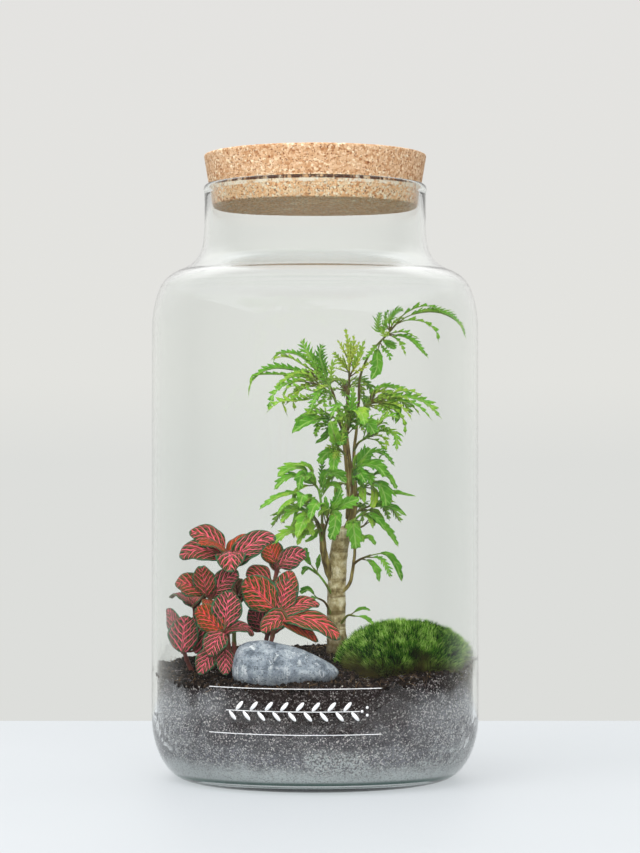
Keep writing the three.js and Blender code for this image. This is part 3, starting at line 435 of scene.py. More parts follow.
# Painted glints: a pale broken line under the painted shade line.
rim_glints = add(tree, "Math",
    add(tree, "MapRange", apart.outputs["Z"], *RIM_GLINT_LOW, interpolation_type="SMOOTHSTEP"),
    add(tree, "Math", 1.0, above, operation="SUBTRACT"), operation="MULTIPLY")
colour = add(tree, "Mix",
    add(tree, "Math", rim_glints,
        add(tree, "MapRange", around, 0.44, 0.54, 0.1, 0.9, interpolation_type="SMOOTHSTEP"),
        operation="MULTIPLY"), A_Color=colour, B_Color="fff4e2", data_type="RGBA")
fit(tree, shader, Base_Color=colour, Roughness=0.85)
height = add(tree, "Math", add(tree, "MapRange", pore, 0.0, 0.12, interpolation_type="SMOOTHSTEP"),
    add(tree, "MapRange", fleck, 0.6, 0.72, interpolation_type="SMOOTHSTEP"), operation="SUBTRACT")
grain = add(tree, "Bump", Strength=0.6, Distance=0.0004, Height=height)
fit(tree, shader, Normal=grain)


def skin_of_rings(rings, turns):
    """Points and faces of a closed skin. rings holds (radius, height) in mm from the bottom
    pole to the top pole, whose radius is 0."""
    points = [Vector((0, 0, rings[0][1] * MM))]
    for radius, level in rings[1:-1]:
        for k in range(turns):
            turn = 2 * math.pi * k / turns
            points.append(Vector((radius * math.cos(turn), radius * math.sin(turn), level)) * MM)
    points.append(Vector((0, 0, rings[-1][1] * MM)))
    faces = []
    for k in range(turns):
        faces.append((0, 1 + (k + 1) % turns, 1 + k))
        for j in range(len(rings) - 3):
            low, high = 1 + j * turns, 1 + (j + 1) * turns
            faces.append((low + k, low + (k + 1) % turns, high + (k + 1) % turns, high + k))
        last = 1 + (len(rings) - 3) * turns
        faces.append((last + k, last + (k + 1) % turns, len(points) - 1))
    return points, faces


def roughened(piece, rise_at):
    """Moves each point of a piece along its normal by rise_at(place), in metres."""
    normals = [vertex.normal.copy() for vertex in piece.data.vertices]
    for vertex, normal in zip(piece.data.vertices, normals):
        vertex.co += normal * rise_at(vertex.co)


cork_rings = [(0, CORK_BOTTOM)] + [(r, CORK_BOTTOM) for r in range(8, 62, 6)]
cork_rings += [(CORK_BOTTOM_RADIUS - CORK_EDGE, CORK_BOTTOM),
               (CORK_BOTTOM_RADIUS - CORK_BREAK, CORK_BOTTOM + CORK_BREAK)]
for step in range(25):
    share = step / 24
    cork_rings.append((CORK_BOTTOM_RADIUS + (CORK_TOP_RADIUS - CORK_BOTTOM_RADIUS) * share,
                       CORK_BOTTOM + CORK_EDGE + (CORK_TOP - CORK_BOTTOM - 2 * CORK_EDGE) * share))
cork_rings += [(CORK_TOP_RADIUS - CORK_BREAK, CORK_TOP - CORK_BREAK),
               (CORK_TOP_RADIUS - CORK_EDGE, CORK_TOP)]
cork_rings += [(r, CORK_TOP) for r in range(64, 3, -4)] + [(0, CORK_TOP)]
points, faces = skin_of_rings(cork_rings, CORK_TURNS)
stopper = mesh_piece("stopper_of_pressed_cork", points, faces, [cork])
roughened(stopper, lambda p: -0.00035 * max(0.0, noise.noise(p * 420) + noise.noise(p * 900) * 0.5))
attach(stopper, "root")
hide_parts("cork_stopper")


# Potting soil: a loose dark peat mix with fine pale grit and fibres, filled in by hand. It lies
# against the glass, where a film of moisture and fine clay dulls it at both sides and low down.

SOIL_FRONT, SOIL_BACK_RISE, SOIL_LEFT_FALL, SOIL_RIGHT_RISE, SOIL_WAVE = 62.5, 11, 5, 3, 0.8
SOIL_LUMP, SOIL_LUMP_SPACING = 0.9, 36
SOIL_TURNS = 260
# The bed stands SOIL_GAP off the glass. Where it is wet, WET_PRESS brings it out again, to
# 0.08 mm past the glass's inner face. Its wall goes on up in rings WALL_STEP apart.
SOIL_RADIUS, SOIL_BASE, SOIL_GAP, WET_PRESS = 96.7, 6.3, 0.3, 0.38
SOIL_WALL_FOOT, WALL_STEP, WALL_STEPS, TOP_STEPS = 40.3, 1.4, 16, 56


def smooth_step(low, high, value):
    share = min(max((value - low) / (high - low), 0.0), 1.0)
    return share * share * (3 - 2 * share)


def soil_height(x, y):
    """Height of the bed's top in mm."""
    back = SOIL_BACK_RISE * smooth_step(-85, 0, y)
    side = SOIL_RIGHT_RISE * smooth_step(30, 92, x) - SOIL_LEFT_FALL * smooth_step(40, 95, -x)
    waves = SOIL_WAVE * (math.sin(x * 0.11 + 1) + math.sin(y * 0.13 + x * 0.05))
    turn = 2 * math.pi / SOIL_LUMP_SPACING
    lumps = SOIL_LUMP * math.sin(x * turn) * math.sin(y * turn)
    return SOIL_FRONT + back + side + waves + lumps


soil, tree, shader, place = new_finish("moist_potting_soil")
# Moist peat with grit: near black brown crumbs, about 1 mm pale specks, no shine. Where it
# touches the glass a thin grey clay film veils it, with a darker clearing at the front. In the
# foot it is wet against the glass, so its skin there stands 0.1 mm past the glass's inner face
# and shows through without a gap.
crumb = add(tree, "TexVoronoi", Scale=1500.0, Vector=place)
tone = add(tree, "SeparateColor", Color=crumb.outputs["Color"])
colour = add(tree, "ValToRGB", tone.outputs["Red"],
    stops=[(0.0, "0b0809"), (0.5, "20181a"), (0.7, "403538"), (0.82, "6c6063"), (0.9, "a89d9e"),
        (0.97, "e2dbd8"), (1.0, "f6f1ec")])
patch = add(tree, "TexNoise", Scale=90.0, Detail=4.0, Vector=place)
colour = add(tree, "Mix",
    add(tree, "MapRange", patch, 0.42, 0.62, 0.0, 0.6, interpolation_type="SMOOTHSTEP"),
    A_Color=colour, B_Color="2a201d", data_type="RGBA")
apart = add(tree, "SeparateXYZ", Vector=place)
radius = add(tree, "VectorMath",
    add(tree, "CombineXYZ", X=apart.outputs["X"], Y=apart.outputs["Y"]).outputs["Vector"],
    operation="LENGTH").outputs["Value"]
fine = add(tree, "TexNoise", Scale=900.0, Detail=3.0, Vector=place)
film_cloud = add(tree, "TexNoise", Scale=34.0, Detail=5.0, Roughness=0.6,
    Vector=place).outputs["Fac"]
uneven = add(tree, "Math", film_cloud, 0.5, operation="SUBTRACT")
ragged = add(tree, "Math", uneven, 0.03, operation="MULTIPLY")
across = add(tree, "Math", add(tree, "Math", apart.outputs["X"], operation="ABSOLUTE"), ragged,
    operation="ADD")
clearing = add(tree, "Math",
    add(tree, "MapRange", across, 0.056, 0.04, interpolation_type="SMOOTHSTEP"),
    add(tree, "Math",
        add(tree, "MapRange", add(tree, "Math", apart.outputs["Z"], ragged, operation="ADD"), 0.032,
            0.04, interpolation_type="SMOOTHSTEP"),
        add(tree, "MapRange", apart.outputs["Y"], 0.0, -0.03, interpolation_type="SMOOTHSTEP"),
        operation="MULTIPLY"), operation="MULTIPLY")
colour = add(tree, "Mix", add(tree, "Math", clearing, 0.45, operation="MULTIPLY"), A_Color=colour,
    B_Color="2a1d1a", data_type="RGBA")
level = add(tree, "Math", apart.outputs["Z"], add(tree, "Math", uneven, 0.05, operation="MULTIPLY"),
    operation="ADD")
low_film = add(tree, "MapRange", level, 0.034, 0.014, 0.0, 0.7, interpolation_type="SMOOTHSTEP")
right_film = add(tree, "MapRange",
    add(tree, "Math", apart.outputs["X"], add(tree, "Math", uneven, 0.08, operation="MULTIPLY"),
        operation="ADD"), 0.04, 0.078, 0.0, 0.55, interpolation_type="SMOOTHSTEP")
left_film = add(tree, "MapRange",
    add(tree, "Math", apart.outputs["X"], add(tree, "Math", uneven, 0.08, operation="MULTIPLY"),
        operation="ADD"), -0.052, -0.082, 0.0, 0.5, interpolation_type="SMOOTHSTEP")
side_film = add(tree, "Math", add(tree, "Math", right_film, left_film, operation="MAXIMUM"),
    add(tree, "MapRange", level, 0.062, 0.048, interpolation_type="SMOOTHSTEP"),
    operation="MULTIPLY")
film = add(tree, "Math", add(tree, "Math", low_film, side_film, operation="MAXIMUM"),
    add(tree, "MapRange", radius, 0.06, 0.09, interpolation_type="SMOOTHSTEP"),
    operation="MULTIPLY")
base_film = add(tree, "Math",
    add(tree, "MapRange", level, 0.052, 0.03, 0.0, 0.18, interpolation_type="SMOOTHSTEP"),
    add(tree, "MapRange", radius, 0.06, 0.09, interpolation_type="SMOOTHSTEP"),
    operation="MULTIPLY")
base_film = add(tree, "Math", base_film, add(tree, "Math", 1.0, clearing, operation="SUBTRACT"),
    operation="MULTIPLY")
colour = add(tree, "Mix", add(tree, "Math", film, base_film, operation="MAXIMUM"), A_Color=colour,
    B_Color="adafb8", data_type="RGBA")
film = add(tree, "Math", film, base_film, operation="MAXIMUM")
colour = add(tree, "Mix",
    add(tree, "Math", film,
        add(tree, "MapRange", tone.outputs["Red"], 0.4, 0.25, interpolation_type="SMOOTHSTEP"),
        operation="MULTIPLY"), A_Color=colour, B_Color="4d4947", data_type="RGBA")
colour = add(tree, "Mix",
    add(tree, "Math", film,
        add(tree, "MapRange", tone.outputs["Red"], 0.72, 0.85, interpolation_type="SMOOTHSTEP"),
        operation="MULTIPLY"), A_Color=colour, B_Color="f4f2f0", data_type="RGBA")
white_patch = add(tree, "Math",
    add(tree, "MapRange", film_cloud, 0.5, 0.62, 0.0, 0.75, interpolation_type="SMOOTHSTEP"),
    add(tree, "MapRange", apart.outputs["Z"], 0.032, 0.018, interpolation_type="SMOOTHSTEP"),
    operation="MULTIPLY")
white_patch = add(tree, "Math", white_patch,
    add(tree, "MapRange", fine, 0.42, 0.56, 0.15, 1.0, interpolation_type="SMOOTHSTEP"),
    operation="MULTIPLY")
# Whitish film low in the foot corner: partly the real film on the glass, partly painted light for
# the light that the glass foot gathers there and the corner does not get.
corner_film_and_light = add(tree, "Math",
    add(tree, "MapRange",
        add(tree, "Math", apart.outputs["Z"],
            add(tree, "Math", uneven, 0.016, operation="MULTIPLY"), operation="ADD"), 0.019, 0.0105,
        0.0, 0.97, interpolation_type="SMOOTHSTEP"),
    add(tree, "MapRange", fine, 0.38, 0.52, 0.55, 1.0, interpolation_type="SMOOTHSTEP"),
    operation="MULTIPLY")
at_glass = add(tree, "MapRange", radius, 0.06, 0.085, interpolation_type="SMOOTHSTEP")
groove = add(tree, "MapRange", apart.outputs["Z"], 0.0092, 0.0076, interpolation_type="SMOOTHSTEP")
# Pale mineral patches, and the partly painted light of the foot corner, whiten the skin at the
# glass.
colour = add(tree, "Mix",
    add(tree, "Math", add(tree, "Math", white_patch, corner_film_and_light, operation="MAXIMUM"), at_glass,
        operation="MULTIPLY"), A_Color=colour, B_Color="e9eff0", data_type="RGBA")
colour = add(tree, "Mix", groove, A_Color=colour, B_Color="557a72", data_type="RGBA")
fit(tree, shader, Base_Color=colour, Roughness=0.95, Specular_IOR_Level=0.2)
lumps = add(tree, "Math", fine, add(tree, "Math", crumb, -0.8, operation="MULTIPLY"),
    operation="ADD")
loose = add(tree, "Bump", Strength=0.9, Distance=0.0008, Height=lumps)
fit(tree, shader, Normal=loose)

soil_rings = [(r, SOIL_BASE) for r in (0, 30, 55)]
for step in range(24):
    angle = math.radians(90 * step / 24)
    past = WET_PRESS * smooth_step(8, 18, math.degrees(angle)) - SOIL_GAP
    soil_rings.append((INNER_CORNER_RADIUS + past + INNER_CORNER_BREADTH * math.sin(angle),
                       INNER_CORNER_HEIGHT - past - INNER_CORNER_DEPTH * math.cos(angle)))
soil_rings += [(SOIL_RADIUS + WET_PRESS * max(0, 1 - k / 5), SOIL_WALL_FOOT + k * WALL_STEP)
               for k in range(WALL_STEPS)]
wall_rings = len(soil_rings) - 1
soil_rings += [(SOIL_RADIUS * (1 - (k / TOP_STEPS) ** 1.15), 0) for k in range(TOP_STEPS)]
soil_rings.append((0, 0))
points, faces = skin_of_rings(soil_rings, SOIL_TURNS)
for i, point in enumerate(points):
    x, y = point.x / MM, point.y / MM
    top = soil_height(x, y)
    if i > wall_rings * SOIL_TURNS:
        rough = noise.noise(point * 160) * 1.3 + noise.noise(point * 420) * 0.9
        edge = smooth_step(0, 6, SOIL_RADIUS - math.hypot(x, y))
        point.z = (top + rough * edge) * MM
    elif point.z > SOIL_WALL_FOOT * MM:
        share = (point.z / MM - SOIL_WALL_FOOT) / (WALL_STEP * (WALL_STEPS - 1))
        point.z = (SOIL_WALL_FOOT + share * (top - SOIL_WALL_FOOT)) * MM
bed = mesh_piece("bed_of_potting_soil", points, faces, [soil])


def wall_pits(p):
    """Small hollows between crumbs where the bed lies against the glass."""
    if math.hypot(p.x, p.y) < 0.094 or p.z > 0.061:
        return 0.0
    return -0.0011 * max(0.0, noise.noise(p * 330) * 1.4 + noise.noise(p * 700) * 0.6)


roughened(bed, wall_pits)
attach(bed, "root")
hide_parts("potting_soil")


def strewn_tree(name, piece_of):
    """Geometry Nodes: small pieces strewn over the upward faces of a surface. piece_of adds
    the nodes for one piece of unit size and gives its geometry."""
    nodes, given = new_group(name, "Pieces", Surface="Geometry", Density="Float",
                             Smallest="Float", Largest="Float", Seed="Int", Finish="Material")
    normal = add(nodes, "GeometryNodeInputNormal")
    upward = add(nodes, "FunctionNodeCompare", data_type="FLOAT", operation="GREATER_THAN", B=0.35,
        A=add(nodes, "SeparateXYZ", Vector=normal.outputs[0]).outputs["Z"])
    spots = add(nodes, "GeometryNodeDistributePointsOnFaces", Mesh=given.outputs["Surface"],
        Selection=upward.outputs["Result"], Density=given.outputs["Density"],
        Seed=given.outputs["Seed"])
    turn = add(nodes, "FunctionNodeRandomValue", data_type="FLOAT_VECTOR",
        Max=(6.28, 6.28, 6.28), Seed=given.outputs["Seed"])
    size = add(nodes, "FunctionNodeRandomValue", data_type="FLOAT",
        Min_001=given.outputs["Smallest"], Max_001=given.outputs["Largest"],
        Seed=given.outputs["Seed"])
    stretch = add(nodes, "FunctionNodeRandomValue", data_type="FLOAT_VECTOR",
        Min=(0.6, 0.6, 0.6), Max=(1.2, 1.2, 1.2), Seed=5)
    scaled = add(nodes, "VectorMath", stretch.outputs["Value"], operation="SCALE",
        Scale=size.outputs[1])
    strewn = add(nodes, "GeometryNodeInstanceOnPoints", Points=spots.outputs["Points"],
        Instance=piece_of(nodes), Rotation=turn.outputs["Value"], Scale=scaled.outputs["Vector"])
    real = add(nodes, "GeometryNodeRealizeInstances", Geometry=strewn.outputs["Instances"])
    finish = add(nodes, "GeometryNodeSetMaterial", Geometry=real.outputs["Geometry"],
        Material=given.outputs["Finish"])
    add(nodes, "NodeGroupOutput", Pieces=finish.outputs["Geometry"])
    return nodes


def crumb_shape(nodes):
    """A lump with twenty faces."""
    return add(nodes, "GeometryNodeMeshIcoSphere", Radius=1.0, Subdivisions=1).outputs["Mesh"]


def fibre_shape(nodes):
    """A thin bent root fibre, four times as long as its unit."""
    line = add(nodes, "GeometryNodeCurveQuadraticBezier", Resolution=4, Start=(-2, 0, 0),
        Middle=(0, 1.6, 0.5), End=(2, 0, 0))
    section = add(nodes, "GeometryNodeCurvePrimitiveCircle", Resolution=3, Radius=0.07)
    return add(nodes, "GeometryNodeCurveToMesh", Fill_Caps=True, Curve=line.outputs["Curve"],
        Profile_Curve=section.outputs["Curve"]).outputs["Mesh"]


def strewn_piece(name, surface, nodes, inputs):
    """A new piece grown by a node tree over a copy of a surface."""
    piece = bpy.data.objects.new(name, surface.data.copy())
    scene.collection.objects.link(piece)
    return grown(piece, nodes, inputs)


CRUMBS = strewn_tree("crumbs_strewn", crumb_shape)
FIBRES = strewn_tree("fibres_strewn", fibre_shape)

dark_crumb, tree, shader, place = new_finish("peat_crumbs")
# Loose crumbs of peat and bark: matt, from black to mid brown.
shade = add(tree, "TexNoise", Scale=260.0, Detail=2.0, Vector=place)
fit(tree, shader,
    Base_Color=add(tree, "ValToRGB", shade,
        stops=[(0.3, "0f0b0a"), (0.5, "221a17"), (0.64, "3f3229"), (0.78, "6e5f50")]),
    Roughness=0.95, Specular_IOR_Level=0.2)

pale_grit, tree, shader, place = new_finish("pale_grit")
# Grains of pale grit and perlite, about 1 mm.
shade = add(tree, "TexNoise", Scale=300.0, Vector=place)
fit(tree, shader,
    Base_Color=add(tree, "ValToRGB", shade, stops=[(0.35, "8d8276"), (0.65, "d9d2c8")]),
    Roughness=0.8)

fibre_finish, tree, shader, place = new_finish("root_fibres")
# Dry root and coir fibres: straw to brown, matt.
shade = add(tree, "TexNoise", Scale=120.0, Vector=place)
fit(tree, shader, Base_Color=add(tree, "ValToRGB", shade, stops=[(0.4, "4a3422"), (0.6, "8b6f4c")]),
    Roughness=0.8)

crumbs = strewn_piece("loose_peat_crumbs", bed, CRUMBS, {
    "Density": 240000.0, "Smallest": 0.0005, "Largest": 0.0019, "Seed": 3, "Finish": dark_crumb})
grit = strewn_piece("loose_pale_grit", bed, CRUMBS, {
    "Density": 22000.0, "Smallest": 0.0003, "Largest": 0.0007, "Seed": 8, "Finish": pale_grit})
fibres = strewn_piece("loose_root_fibres", bed, FIBRES, {
    "Density": 26000.0, "Smallest": 0.001, "Largest": 0.0024, "Seed": 11, "Finish": fibre_finish})
for piece in (crumbs, grit, fibres):
    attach(piece, "root")


# Cobble: one river-worn blue-grey stone, high and blunt at its left end and sloping down to the
# right, pressed into the soil in front. Its skin is matt, mottled and scratched pale.

COBBLE_CENTRE, COBBLE_HALF_LENGTH, COBBLE_HALF_DEPTH = (-17.2, -66, 69.5), 31, 17
COBBLE_ABOVE, COBBLE_SLOPE, COBBLE_BELOW, COBBLE_BLUNTNESS = 15.9, 7.2, 11, 0.46

stone, tree, shader, place = new_finish("worn_blue_grey_stone")
# Water-worn stone: blue-grey mottling, pale scratched streaks on the slant, a dull skin.
mottle = add(tree, "TexNoise", Scale=150.0, Detail=8.0, Roughness=0.75, Vector=place)
colour = add(tree, "ValToRGB", mottle,
    stops=[(0.3, "48505c"), (0.42, "6f7884"), (0.52, "969fab"), (0.62, "b9c0c9"), (0.74, "dbdfe5")])
slant = add(tree, "Mapping", Rotation=(0.2, 0.9, 0.3), Scale=(1.0, 1.0, 0.22), Vector=place)
streak = add(tree, "TexNoise", Scale=340.0, Detail=5.0, Roughness=0.65, Distortion=0.6,
    Vector=slant.outputs["Vector"])
where = add(tree, "TexNoise", Scale=90.0, Detail=3.0, Vector=place)
pale = add(tree, "Math", add(tree, "MapRange", streak, 0.55, 0.62, interpolation_type="SMOOTHSTEP"),
    add(tree, "MapRange", where, 0.4, 0.58, interpolation_type="SMOOTHSTEP"), operation="MULTIPLY")
colour = add(tree, "Mix", add(tree, "Math", pale, 0.8, operation="MULTIPLY"), A_Color=colour,
    B_Color="eceff3", data_type="RGBA")
speck = add(tree, "TexNoise", Scale=900.0, Detail=2.0, Vector=place)
colour = add(tree, "Mix",
    add(tree, "MapRange", speck, 0.58, 0.66, 0.0, 0.7, interpolation_type="SMOOTHSTEP"),
    A_Color=colour, B_Color="39404b", data_type="RGBA")
fit(tree, shader, Base_Color=colour, Roughness=0.72)
relief = add(tree, "Math", mottle, add(tree, "Math", pale, 0.3, operation="MULTIPLY"),
    operation="ADD")
skin = add(tree, "Bump", Strength=0.45, Distance=0.0008, Height=relief)
fit(tree, shader, Normal=skin)

ball = [(0, -1000)] + [(1000 * math.sin(math.pi * k / 72), -1000 * math.cos(math.pi * k / 72))
                       for k in range(1, 72)] + [(0, 1000)]
points, faces = skin_of_rings(ball, 120)
for point in points:
    x, y, z = point
    along = -abs(x) ** COBBLE_BLUNTNESS if x < 0 else x
    height = COBBLE_ABOVE - COBBLE_SLOPE * along if z > 0 else COBBLE_BELOW
    swell = (1 + 0.025 * math.sin(5 * x + 1) * math.cos(4 * y) + 0.02 * math.sin(6 * z + 3 * x)
             + 0.03 * noise.noise(point * 1.7) + 0.012 * noise.noise(point * 5))
    point.x = (COBBLE_CENTRE[0] + COBBLE_HALF_LENGTH * along) * MM
    point.y = (COBBLE_CENTRE[1] + COBBLE_HALF_DEPTH * y * swell * (1 - 0.1 * x)) * MM
    point.z = (COBBLE_CENTRE[2] + height * z * swell) * MM
cobble = mesh_piece("cobble_of_blue_grey_stone", points, faces, [stone])
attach(cobble, "root")
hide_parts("cobble")


# Moss cushion: a dome of cushion moss, thousands of fine upright shoots in small tufts on a
# mat of older brown growth, laid on the soil.

MOSS_CENTRE, MOSS_HALF, MOSS_BASE, MOSS_TOP = (53, -28), (40, 31), 60, 97
MOSS_LIMIT = 93.6
MOSS_NEEDLE = 4.2

moss_mat, tree, shader, place = new_finish("moss_mat")
# The dense older growth under the tips: dark green above, brown low down.
apart = add(tree, "SeparateXYZ", Vector=place)
cloud = add(tree, "TexNoise", Scale=120.0, Detail=4.0, Vector=place)
green = add(tree, "ValToRGB", cloud, stops=[(0.35, "14260a"), (0.65, "2f5213")])
fit(tree, shader,
    Base_Color=add(tree, "Mix",
        add(tree, "MapRange", apart.outputs["Z"], 0.076, 0.066, interpolation_type="SMOOTHSTEP"),
        A_Color=green, B_Color="2b2414", data_type="RGBA"), Roughness=0.9)

moss_tips, tree, shader, place = new_finish("moss_tips")
# Fresh moss tips: bright yellow green on top, olive and brown lower down, in tufts.
apart = add(tree, "SeparateXYZ", Vector=place)
tuft = add(tree, "TexNoise", Scale=210.0, Detail=3.0, Vector=place)
root_to_tip = add(tree, "Attribute", attribute_name="tone").outputs["Fac"]
own = add(tree, "Attribute", attribute_name="own").outputs["Fac"]
clump = add(tree, "TexNoise", Scale=110.0, Detail=2.0, Vector=place)
lightness = add(tree, "Math", add(tree, "Math", root_to_tip, 0.42, operation="MULTIPLY"),
    add(tree, "Math", add(tree, "Math", tuft, 0.4, operation="MULTIPLY"),
        add(tree, "Math", own, 0.48, operation="MULTIPLY"), operation="ADD"), operation="ADD")
lightness = add(tree, "Math", lightness,
    add(tree, "Math", add(tree, "Math", clump, 0.54, operation="SUBTRACT"), 1.1,
        operation="MULTIPLY"), operation="ADD")
colour = add(tree, "ValToRGB", lightness,
    stops=[(0.34, "071302"), (0.5, "1a4207"), (0.65, "3c7416"), (0.8, "7ab330"), (0.95, "c4e67c")])
patch = add(tree, "TexNoise", Scale=45.0, Detail=3.0, Vector=place)
old_part = add(tree, "MapRange",
    add(tree, "Math", apart.outputs["Z"],
        add(tree, "Math", add(tree, "Math", patch, 0.5, operation="SUBTRACT"), 0.03,
            operation="MULTIPLY"), operation="ADD"), 0.08, 0.066, interpolation_type="SMOOTHSTEP")
colour = add(tree, "Mix", old_part, A_Color=colour, B_Color="5d5527", data_type="RGBA")
fit(tree, shader, Base_Color=colour, Roughness=0.7, Specular_IOR_Level=0.15)


def moss_dome(rings, turns):
    """The cushion's core: its outline, pulled in from the glass, domed and knobbed."""
    points, faces = skin_of_rings(
        [(0, 0)] + [(1000 * k / 4, 0) for k in range(1, 4)]
        + [(1000 * (1 - k / rings), 1000) for k in range(rings)] + [(0, 1000)], turns)
    for point in points:
        px, py, level = point
        reach, angle = math.hypot(px, py), math.atan2(py, px)
        outline = 1 + 0.05 * math.sin(3 * angle + 0.7) + 0.03 * math.sin(5 * angle)
        x = MOSS_CENTRE[0] + (MOSS_HALF[0] - 2) * px * outline
        y = MOSS_CENTRE[1] + (MOSS_HALF[1] - 2) * py * outline
        pull = min(1.0, (MOSS_LIMIT - 1) / math.hypot(x, y))
        x, y = x * pull, y * pull
        dome = math.sqrt(max(0.0, 1 - reach ** 2.6))
        knob = (noise.noise(Vector((x, y, 0)) * 0.11) * 1.6
                + noise.noise(Vector((x, y, 9)) * 0.3) * 0.9)
        top = MOSS_BASE + 4 + (MOSS_TOP - MOSS_BASE - 4 - MOSS_NEEDLE) * dome + knob * dome
        point.x, point.y, point.z = x * MM, y * MM, (top if level > 0.5 else MOSS_BASE) * MM
    return points, faces


def moss_tree(name):
    """Geometry Nodes: fine tapered shoots that stand on the dome, leaning a little at random."""
    nodes, given = new_group(name, "Moss", Dome="Geometry", Density="Float", Shortest="Float",
                             Longest="Float", Thickness="Float", Seed="Int", Finish="Material")
    position = add(nodes, "GeometryNodeInputPosition")
    above = add(nodes, "FunctionNodeCompare", data_type="FLOAT", operation="GREATER_THAN", B=0.0625,
        A=add(nodes, "SeparateXYZ", Vector=position.outputs[0]).outputs["Z"])
    spots = add(nodes, "GeometryNodeDistributePointsOnFaces", Mesh=given.outputs["Dome"],
        Selection=above.outputs["Result"], Density=given.outputs["Density"],
        Seed=given.outputs["Seed"])
    tufts = add(nodes, "TexNoise", Scale=190.0, Detail=1.0)
    lean = add(nodes, "VectorMath", tufts.outputs["Color"], (0.5, 0.5, 0.5), operation="SUBTRACT")
    stir = add(nodes, "FunctionNodeRandomValue", data_type="FLOAT_VECTOR",
        Min=(-0.35, -0.35, -0.15), Max=(0.35, 0.35, 0.35), Seed=2)
    pushed = add(nodes, "VectorMath", lean.outputs["Vector"], (2.4, 2.4, 1.0),
        stir.outputs["Value"], operation="MULTIPLY_ADD")
    heading = add(nodes, "VectorMath", spots.outputs["Normal"], pushed.outputs["Vector"],
        operation="ADD")
    raised = add(nodes, "VectorMath", heading.outputs["Vector"], (0, 0, 0.35), operation="ADD")
    aim = add(nodes, "FunctionNodeAlignRotationToVector", axis="Z", Vector=raised.outputs["Vector"])
    length = add(nodes, "FunctionNodeRandomValue", data_type="FLOAT",
        Min_001=given.outputs["Shortest"], Max_001=given.outputs["Longest"],
        Seed=given.outputs["Seed"])
    shape = add(nodes, "CombineXYZ", X=given.outputs["Thickness"], Y=given.outputs["Thickness"],
        Z=length.outputs[1])
    spike = add(nodes, "GeometryNodeMeshCone", fill_type="NGON", Vertices=3, Radius_Top=0.0,
        Radius_Bottom=1.0, Depth=1.0)
    spike_place = add(nodes, "GeometryNodeInputPosition")
    spike_height = add(nodes, "SeparateXYZ", Vector=spike_place.outputs[0])
    marked = add(nodes, "GeometryNodeStoreNamedAttribute", data_type="FLOAT", domain="POINT",
        Name="tone", Geometry=spike.outputs["Mesh"], Value=spike_height.outputs["Z"])
    shoots = add(nodes, "GeometryNodeInstanceOnPoints", Points=spots.outputs["Points"],
        Instance=marked.outputs["Geometry"], Rotation=aim.outputs["Rotation"],
        Scale=shape.outputs["Vector"])
    any_tone = add(nodes, "FunctionNodeRandomValue", data_type="FLOAT", Seed=7)
    toned = add(nodes, "GeometryNodeStoreNamedAttribute", data_type="FLOAT", domain="INSTANCE",
        Name="own", Geometry=shoots.outputs["Instances"], Value=any_tone.outputs[1])
    real = add(nodes, "GeometryNodeRealizeInstances", Geometry=toned.outputs["Geometry"])
    finish = add(nodes, "GeometryNodeSetMaterial", Geometry=real.outputs["Geometry"],
        Material=given.outputs["Finish"])
    add(nodes, "NodeGroupOutput", Moss=finish.outputs["Geometry"])
    return nodes


points, faces = moss_dome(40, 120)
mat = mesh_piece("moss_mat", points, faces, [moss_mat])
tips = strewn_piece("moss_tips", mat, moss_tree("moss_shoots"), {
    "Density": 3900000.0, "Shortest": 0.0034, "Longest": 0.0072, "Thickness": 0.00034,
    "Seed": 4, "Finish": moss_tips})
for piece in (mat, tips):
    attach(piece, "root")
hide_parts("moss_cushion")


# Tree trunk: a pruned aralia stem, beige-grey bark ringed with old leaf scars, cut off slanting
# at its top. Thin woody stems grow out of the cut and from two side shoots, all one wood.

TRUNK = [(13, 8, 54), (13.5, 8, 76), (13, 7.5, 100), (13.5, 7.5, 120), (14.5, 7, 136),
         (16.8, 6.5, 151)]
TRUNK_RADIUS, SCAR_SPACING, TRUNK_LENGTH = 6.0, 10.3, 98
WOODY_STEMS = [
    (2.9, 1.1, [(17, 7, 146), (22.5, 7, 159), (24, 8, 178), (20.8, 9, 194), (19, 10, 212),
                (20, 10, 228)]),
    (1.4, 0.8, [(20, 7, 158), (20.5, 3.5, 175), (18.6, 2.5, 197), (16.5, 4, 214), (13, 5, 230)]),
    (1.3, 0.8, [(22.5, 7, 160), (24.6, 13, 178), (24, 14.5, 197), (25.5, 14, 212),
                (27, 14, 230)]),
    (2.9, 1.7, [(12, 7, 118), (8, 5, 127), (5, 3, 140), (4.4, 2, 155)]),
    (1.2, 0.8, [(15, 5, 112), (21, 3, 118), (23.4, 2, 129), (24.4, 2, 140), (23.6, 3, 150)]),
]


